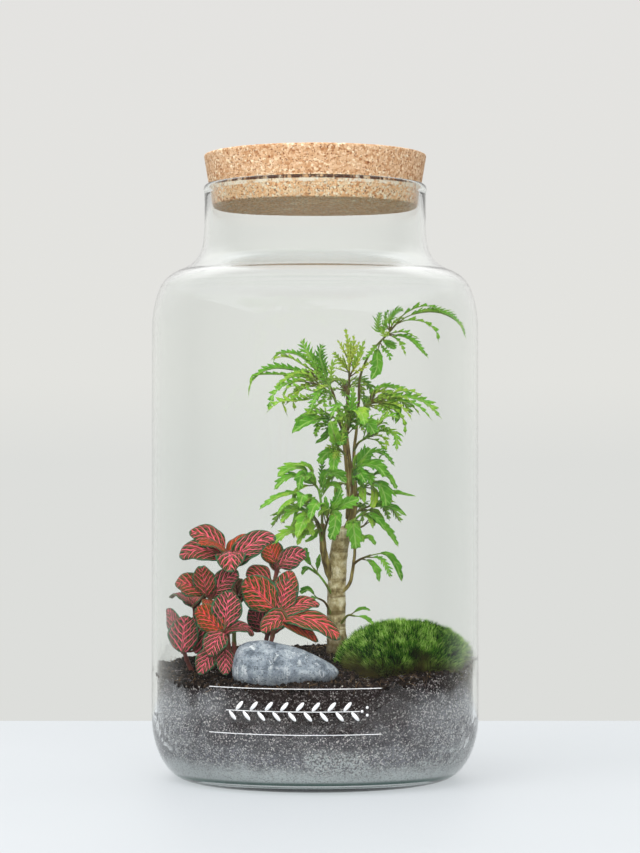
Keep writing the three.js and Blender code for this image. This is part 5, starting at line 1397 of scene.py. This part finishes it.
# Each shoot: its stem, and its leaves as foot, tip, half width, arch, the way the face looks,
# and its tone from pink veins on green, 0, to orange-red all over, 1.
SHOOTS = {
    "fittonia_shoot_top": (((-50, -22, 58), (-53, -28, 100), (-51, -34, 139)), [
        ((-52, -35, 139), (-75, -34, 151), 9, 3, (0.1, -0.75, 0.65), 0.3),
        ((-52, -37, 138), (-69, -51, 144), 6, 3, (0, -0.5, 0.86), 0.85),
        ((-56, -39, 138), (-80, -42, 136), 8.5, 4, (-0.1, -0.8, 0.6), 0.25),
        ((-49, -31, 140), (-36, -18, 148), 7, 2, (0, -0.5, 0.86), 1.0),
        ((-50, -38, 138), (-50, -58, 128), 9.5, 4, (0, -0.6, 0.8), 0.2),
        ((-44, -39, 138.5), (-23, -44, 147.5), 8.5, 3, (0, -0.85, 0.5), 0.1),
    ]),
    "fittonia_shoot_right_back": (((-34, -16, 58), (-27, -17, 100), (-23, -19, 130)), [
        ((-23, -19, 130), (-29, -13, 145), 7.5, 1, (-0.2, -0.9, 0.3), 0.7),
        ((-22, -20, 130), (-5, -24, 137), 7.5, 2, (0, -0.9, 0.4), 0.0),
        ((-26, -21, 121), (-41, -28, 124), 8.5, 2, (0, -0.8, 0.6), 0.4),
        ((-22, -17, 128), (-20, 3, 128), 7.5, 5, (0, 0.5, 0.86), 0.3),
    ]),
    "fittonia_shoot_front_right": (((-32, -34, 58), (-26, -40, 86), (-21, -45, 103)), [
        ((-22, -46, 103), (-43, -50, 122), 11, 2, (-0.1, -0.95, 0.3), 0.6),
        ((-21, -45, 103), (-16, -42, 123), 8.5, 1, (0.2, -0.97, 0.1), 0.35),
        ((-21, -43, 103), (-14, -33, 128), 8.5, 2, (0, -0.9, 0.3), 0.5),
        ((-19, -45, 103), (3, -40, 108), 7.5, 3, (0, -0.6, 0.8), 0.35),
        ((-17, -48, 100), (15, -54, 88), 8, 5, (0.1, -0.7, 0.7), 0.5),
        ((-20, -46, 98), (2, -46, 86), 4.5, 2, (0, -0.8, 0.6), 0.8),
        ((-21, -48, 100), (-31, -56, 92), 6.5, 2, (0, -0.9, 0.4), 0.4),
    ]),
    "fittonia_shoot_front_left": (((-52, -44, 58), (-54, -51, 82), (-54, -57, 94)), [
        ((-53, -59, 94), (-50, -58, 117), 9.5, 1, (0, -1, 0.1), 0.1),
        ((-55, -59, 93), (-70, -57, 106), 8.5, 2, (-0.3, -0.9, 0.4), 0.75),
        ((-54, -59, 92), (-61, -68, 79), 7.5, 3, (-0.1, -0.9, 0.4), 0.1),
        ((-52, -56, 93), (-36, -45, 90), 6, 4, (0, -0.6, 0.8), 0.2),
        ((-56, -56, 84), (-67, -65, 68), 7, 3, (-0.3, -0.9, 0.3), 0.05),
        ((-53, -56, 82), (-52, -68, 68), 6, 3, (0.1, -0.9, 0.3), 0.0),
    ]),
    "fittonia_shoot_left_high": (((-60, -28, 58), (-63, -34, 94), (-62, -41, 116)), [
        ((-64, -43, 113), (-67, -51, 131), 7.5, 2, (-0.2, -0.95, 0.2), 0.4),
        ((-65, -41, 114), (-83, -37, 120), 8, 3, (-0.3, -0.8, 0.5), 0.5),
        ((-59, -43, 116), (-45, -49, 127), 7.5, 2, (0, -0.9, 0.4), 0.1),
        ((-62, -43, 110), (-64, -56, 107), 4, 2, (0, -0.6, 0.8), 0.6),
        ((-62, -38, 116), (-62, -20, 122), 7.5, 3, (-0.2, 0.4, 0.9), 0.3),
    ]),
    "fittonia_shoot_left_low": (((-70, -22, 58), (-76, -28, 72), (-79, -32, 82)), [
        ((-79, -34, 78), (-77, -33, 101), 10, 1, (-0.3, -0.95, 0.1), 0.15),
        ((-72, -30, 80), (-68, -29, 102), 8.5, 1, (-0.1, -0.95, 0.1), 0.2),
        ((-80, -28, 84), (-90, -14, 104), 6, 2, (-0.7, -0.6, 0.3), 0.1),
    ]),
    "fittonia_shoot_back_left": (((-66, -6, 58), (-72, -4, 84), (-74, -2, 104)), [
        ((-74, -2, 104), (-90, 4, 110), 7, 4, (-0.6, 0.2, 0.8), 0.2),
        ((-74, 0, 104), (-76, 20, 106), 8, 5, (-0.2, 0.5, 0.86), 0.4),
        ((-73, -2, 105), (-58, 4, 113), 7.5, 3, (0.1, 0.3, 0.95), 0.1),
        ((-73, -4, 95), (-86, -12, 90), 6.5, 3, (-0.6, -0.2, 0.8), 0.3),
    ]),
    "fittonia_shoot_back": (((-48, 2, 58), (-50, 8, 86), (-48, 12, 110)), [
        ((-48, 12, 110), (-48, 32, 114), 8.5, 5, (0, 0.6, 0.8), 0.2),
        ((-47, 11, 110), (-31, 10, 118), 7.5, 3, (0.2, 0.1, 0.95), 0.5),
        ((-49, 13, 109), (-64, 24, 108), 7.5, 4, (-0.2, 0.6, 0.8), 0.1),
        ((-51, 11, 98), (-60, 25, 93), 8, 4, (-0.3, 0.6, 0.75), 0.3),
        ((-48, 11, 111), (-50, -6, 122), 7.5, 3, (0, -0.3, 0.95), 0.2),
    ]),
    "fittonia_shoot_back_low": (((-36, 12, 58), (-32, 20, 74), (-30, 26, 86)), [
        ((-30, 26, 86), (-26, 45, 86), 7.5, 5, (0, 0.6, 0.8), 0.3),
        ((-31, 24, 87), (-40, 12, 103), 8, 1, (0, -0.9, 0.3), 0.1),
        ((-28, 23, 88), (-23, 13, 104), 7.5, 1, (0, -0.9, 0.3), 0.3),
    ]),
}
# Side veins on each half, how far they sweep forward, how far the two halves are out of step,
# how deep the blade is quilted between them in mm, and its fold at the midrib in degrees.
SIDE_VEINS, VEIN_SWEEP, VEIN_OFFSET, QUILT_DEPTH, FITTONIA_FOLD = 5.4, 0.5, 0.22, 0.22, 14


def veined_skin(name, patch_colours, net_colours, vein_colours, margin, gloss, strength):
    """A fittonia leaf side: green patches in a net of fine veins, side veins that sweep
    forward from the rib, a plain green margin. The leaf map gives length and breadth."""
    material, tree, shader, place = new_finish(name)
    leaf_map = add(tree, "SeparateXYZ", Vector=add(tree, "UVMap", uv_map="leaf").outputs["UV"])
    tone = add(tree, "Attribute", attribute_name="tone").outputs["Fac"]
    along, breadth = leaf_map.outputs["X"], leaf_map.outputs["Y"]
    signed = add(tree, "Math", add(tree, "Math", breadth, 2.0, operation="MULTIPLY"), 1.0,
        operation="SUBTRACT")
    outward = add(tree, "Math", signed, operation="ABSOLUTE")
    left_right = add(tree, "Math", signed, operation="SIGN")
    local = add(tree, "Math",
        add(tree, "Math",
            add(tree, "Math", add(tree, "Math", along, 0.95, operation="POWER"), math.pi,
                operation="MULTIPLY"), operation="SINE"), 0.6, operation="POWER")
    off_rib = add(tree, "Math", outward, local, operation="MULTIPLY")
    wobble = add(tree, "TexNoise", Scale=170.0, Detail=2.0, Vector=place)
    wander = add(tree, "Math", add(tree, "Math", wobble, 0.5, operation="SUBTRACT"), 0.16,
        operation="MULTIPLY")
    swept = add(tree, "Math", add(tree, "Math", along, wander, operation="ADD"),
        add(tree, "Math", off_rib, VEIN_SWEEP, operation="MULTIPLY"), operation="SUBTRACT")
    phase = add(tree, "Math", add(tree, "Math", swept, SIDE_VEINS, operation="MULTIPLY"),
        add(tree, "Math", left_right, VEIN_OFFSET, operation="MULTIPLY"), operation="ADD")
    off_vein = add(tree, "Math",
        add(tree, "Math",
            add(tree, "Math", add(tree, "Math", phase, 20.0, operation="ADD"), operation="FRACT"),
            0.5, operation="SUBTRACT"), operation="ABSOLUTE")
    width = add(tree, "Math", 0.15, add(tree, "Math", outward, 0.1, operation="MULTIPLY"),
        operation="SUBTRACT")
    side_vein = add(tree, "MapRange", add(tree, "Math", off_vein, width, operation="DIVIDE"), 1.2,
        0.6, interpolation_type="SMOOTHSTEP")
    rib_width = add(tree, "Math", 0.12, add(tree, "Math", along, 0.09, operation="MULTIPLY"),
        operation="SUBTRACT")
    rib = add(tree, "MapRange", add(tree, "Math", outward, rib_width, operation="DIVIDE"), 1.1, 0.6,
        interpolation_type="SMOOTHSTEP")
    cell_place = add(tree, "CombineXYZ", X=add(tree, "Math", phase, 2.0, operation="MULTIPLY"),
        Y=add(tree, "Math", add(tree, "Math", tone, 37.0, operation="MULTIPLY"),
            add(tree, "Math", add(tree, "Math", off_rib, left_right, operation="MULTIPLY"), 4.2,
                operation="MULTIPLY"), operation="ADD"))
    cells = add(tree, "TexVoronoi", voronoi_dimensions="2D", feature="DISTANCE_TO_EDGE", Scale=1.0,
        Randomness=0.6, Vector=cell_place.outputs["Vector"])
    mesh_width = add(tree, "Math", 0.15, add(tree, "Math", outward, 0.08, operation="MULTIPLY"),
        operation="SUBTRACT")
    net = add(tree, "MapRange", add(tree, "Math", cells, mesh_width, operation="DIVIDE"), 1.2, 0.7,
        interpolation_type="SMOOTHSTEP")
    cloud = add(tree, "TexNoise", Scale=200.0, Detail=3.0, Vector=place)
    tone_here = add(tree, "Math", tone,
        add(tree, "Math", add(tree, "Math", cloud, 0.5, operation="SUBTRACT"), 0.7,
            operation="MULTIPLY"), operation="ADD")
    patch = add(tree, "ValToRGB", tone_here,
        stops=[(0.1, patch_colours[0]), (0.6, patch_colours[1]), (1.0, patch_colours[2])])
    net_colour = add(tree, "ValToRGB", tone_here,
        stops=[(0.1, net_colours[0]), (0.9, net_colours[1])])
    vein_colour = add(tree, "ValToRGB", tone_here,
        stops=[(0.1, vein_colours[0]), (0.9, vein_colours[1])])
    near_edge = add(tree, "Math",
        add(tree, "MapRange", outward, 0.84, 0.93, interpolation_type="SMOOTHSTEP"),
        add(tree, "Math",
            add(tree, "MapRange", along, 0.93, 0.985, interpolation_type="SMOOTHSTEP"),
            add(tree, "MapRange", along, 0.05, 0.01, interpolation_type="SMOOTHSTEP"),
            operation="MAXIMUM"), operation="MAXIMUM")
    inside = add(tree, "Math", 1.0, near_edge, operation="SUBTRACT")
    colour = add(tree, "Mix", add(tree, "Math", net, strength, operation="MULTIPLY"),
        A_Color=patch, B_Color=net_colour, data_type="RGBA")
    veins = add(tree, "Math", side_vein, rib, operation="MAXIMUM")
    colour = add(tree, "Mix", veins, A_Color=colour, B_Color=vein_colour, data_type="RGBA")
    colour = add(tree, "Mix", add(tree, "Math", near_edge, 0.9, operation="MULTIPLY"),
        A_Color=colour, B_Color=margin, data_type="RGBA")
    fit(tree, shader, Base_Color=colour, Roughness=gloss, Specular_IOR_Level=0.3)
    relief = add(tree, "Math", add(tree, "Math", net, veins, operation="MAXIMUM"), inside,
        operation="MULTIPLY")
    quilt = add(tree, "Bump", Strength=0.6, Distance=0.0005, invert=True, Height=relief)
    fit(tree, shader, Normal=quilt)
    return material


# Upper side: a velvety quilted skin, pink to orange-red veins. Under side: dull salmon.
fittonia_top = veined_skin(
    "fittonia_leaf_upper_side", ("1f4a26", "31521c", "74481f"), ("c85664", "d54a2b"),
    ("fc6c88", "fb4a42"), "3a7350", 0.5, 0.72)
fittonia_under = veined_skin(
    "fittonia_leaf_under_side", ("8a8862", "b47f62", "d48262"), ("d08676", "dd8c68"),
    ("e4a498", "e49478"), "8f9e6e", 0.7, 0.5)

shoot_skin, tree, shader, place = new_finish("fittonia_stems")
# Fleshy young stems and petioles: dull green flushed with red.
flush = add(tree, "TexNoise", Scale=80.0, Detail=2.0, Vector=place)
fit(tree, shader,
    Base_Color=add(tree, "ValToRGB", flush,
        stops=[(0.35, "5b2f2b"), (0.5, "8a4a43"), (0.65, "5f6a3c")]), Roughness=0.6)


def fittonia_leaf(shape, foot, row, chance):
    """One oval leaf on its petiole, quilted a little and waved at its margin."""
    start, tip, half, arch, face, tone = row
    start, tip = Vector(start), Vector(tip)
    up = Vector((0, 0, arch))
    rib = Route((foot, tuple(start), tuple(start.lerp(tip, 0.35) + up * 0.8),
                 tuple(start.lerp(tip, 0.7) + up * 0.9), tuple(tip)), 14)
    length, half, facing = rib.length, half * MM, Vector(face)
    slope = math.radians(FITTONIA_FOLD)
    rows, across_count = 40, 14
    sway, depth = chance.uniform(0, 6.28), chance.uniform(0.03, 0.08)
    points, faces, spots, grid = [], [], [], []
    for j in range(rows + 1):
        share = j / rows
        u = PETIOLE_SHARE + (1 - PETIOLE_SHARE) * share
        heading = rib.along(u)
        side = facing.cross(heading).normalized()
        upward = heading.cross(side)
        broad = half * math.sin(math.pi * share ** 0.95) ** 0.6
        ring = []
        for k in range(across_count + 1):
            if j in (0, rows) and k > 0:
                ring.append(ring[0])
                continue
            v = 2 * k / across_count - 1
            if j in (0, rows):
                v = 0.0
            phase = ((share - VEIN_SWEEP * abs(v) * broad / half) * SIDE_VEINS
                     + math.copysign(VEIN_OFFSET, v))
            quilt = (-QUILT_DEPTH * MM * math.cos(2 * math.pi * (phase - 0.5)) * (1 - v * v)
                     * min(1, share * 8))
            lift = (-0.2 * half * v * v * abs(v)
                    + depth * half * math.sin(share * 15 + sway + v) * v * v + quilt)
            ring.append(len(points))
            points.append(rib.at(u) + side * broad * v * math.cos(slope)
                          + upward * (broad * abs(v) * math.sin(slope) + lift))
            spots.append((share, 0.5 + 0.5 * v))
        grid.append(ring)
    for low, high in zip(grid, grid[1:]):
        for k in range(across_count):
            corners = []
            for corner in (low[k], high[k], high[k + 1], low[k + 1]):
                if corner not in corners:
                    corners.append(corner)
            faces.append(tuple(corners))
    shape.plate(points, faces, spots, FITTONIA_THICKNESS * MM, tone)
    shape.rod(rib, lambda u, turn: (0.8 - 0.55 * u) * MM, 7, 16, 2, 0.0, 0.9, tone)


for name, (stem_points, leaves) in SHOOTS.items():
    chance = random.Random(name)
    shoot = Shape()
    stem = Route(stem_points)
    shoot.rod(stem, lambda u, turn: (1.5 - 0.3 * u + 0.25 * max(0, math.cos(u * 28)) ** 6) * MM,
              12, 50, 2)
    for i, row in enumerate(leaves):
        foot = tuple(stem.at(0.98 - LEAF_SPACING * MM * i / stem.length) / MM)
        fittonia_leaf(shoot, foot, row, chance)
    piece = shoot.piece(name + "_leaves", [fittonia_top, fittonia_under, shoot_skin])
    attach(piece, "root")
    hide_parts(name)


# Print: white enamel fired on the jar's front, a plain pattern of two thin rules and between
# them one long leafy twig with round buds.

# Heights and lengths are in mm, ends and places round the jar in degrees from its front.
PRINT_RADIUS, PRINT_THICKNESS, DEGREES_PER_MM = 100.09, 0.05, 0.573
PRINT_RULES, PRINT_ENDS, RULE_HALF, RULE_STEPS = (62.3, 35.8), (-38.0, 22.7), 0.22, 44
TWIG_HEIGHT, TWIG_ENDS, TWIG_LEAVES = 49.2, (-31.0, 15.0), 17
TWIG_FIRST_LEAF, TWIG_LEAF_SPAN = -30.0, 42.0
LEAF_CENTRE, LEAF_HALF_LENGTH, LEAF_HALF_WIDTH = 3.9, 3.4, 1.15
BUD_HALF_WIDTH, BUD_HALF_HEIGHT = 0.5, 0.87


def printed(shape, outline, middle):
    """One flat printed mark on the jar: its outline as degrees round the jar and heights."""
    spots = [middle, *outline]
    points = [Vector((PRINT_RADIUS * math.sin(math.radians(turn)),
                       -PRINT_RADIUS * math.cos(math.radians(turn)), level)) * MM
               for turn, level in spots]
    faces = [(0, i, i % len(outline) + 1) for i in range(1, len(outline) + 1)]
    shape.plate(points, faces, [(0.0, 0.0)] * len(points), PRINT_THICKNESS * MM, 0.5, (0, 0))


enamel, tree, shader, place = new_finish("white_enamel_print")
# Fired white enamel: chalky white with a faintly thinner, greyer coat here and there.
coat = add(tree, "TexNoise", Scale=260.0, Detail=3.0, Vector=place)
fit(tree, shader, Base_Color=add(tree, "ValToRGB", coat, stops=[(0.3, "dfe2e6"), (0.6, "f8f9fb")]),
    Roughness=0.5)

marks = Shape()
lines = [(level, *PRINT_ENDS) for level in PRINT_RULES] + [(TWIG_HEIGHT, *TWIG_ENDS)]
for level, first, last in lines:
    for k in range(RULE_STEPS):
        a = first + (last - first) * k / RULE_STEPS
        b = first + (last - first) * (k + 1) / RULE_STEPS
        printed(marks, [(a, level - RULE_HALF), (b, level - RULE_HALF),
                        (b, level + RULE_HALF), (a, level + RULE_HALF)], ((a + b) / 2, level))
for k in range(TWIG_LEAVES):
    foot = (TWIG_FIRST_LEAF + TWIG_LEAF_SPAN * k / (TWIG_LEAVES - 1), TWIG_HEIGHT)
    slope = math.radians(48 if k % 2 else -48)
    blade = []
    for j in range(16):
        turn = 2 * math.pi * j / 16
        along = LEAF_CENTRE + LEAF_HALF_LENGTH * math.cos(turn)
        across = LEAF_HALF_WIDTH * math.sin(turn)
        turned = along * math.cos(slope) - across * math.sin(slope)
        blade.append((foot[0] + turned * DEGREES_PER_MM,
                      foot[1] + along * math.sin(slope) + across * math.cos(slope)))
    centre = (foot[0] + LEAF_CENTRE * math.cos(slope) * DEGREES_PER_MM,
              foot[1] + LEAF_CENTRE * math.sin(slope))
    printed(marks, blade, centre)
for bud in ((15.8, TWIG_HEIGHT), (17.6, TWIG_HEIGHT + 2.2), (17.6, TWIG_HEIGHT - 2.2)):
    printed(marks, [(bud[0] + BUD_HALF_WIDTH * math.cos(math.pi * j / 6),
                     bud[1] + BUD_HALF_HEIGHT * math.sin(math.pi * j / 6)) for j in range(12)], bud)
print_piece = marks.piece("print_of_white_enamel", [enamel])
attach(print_piece, "root")
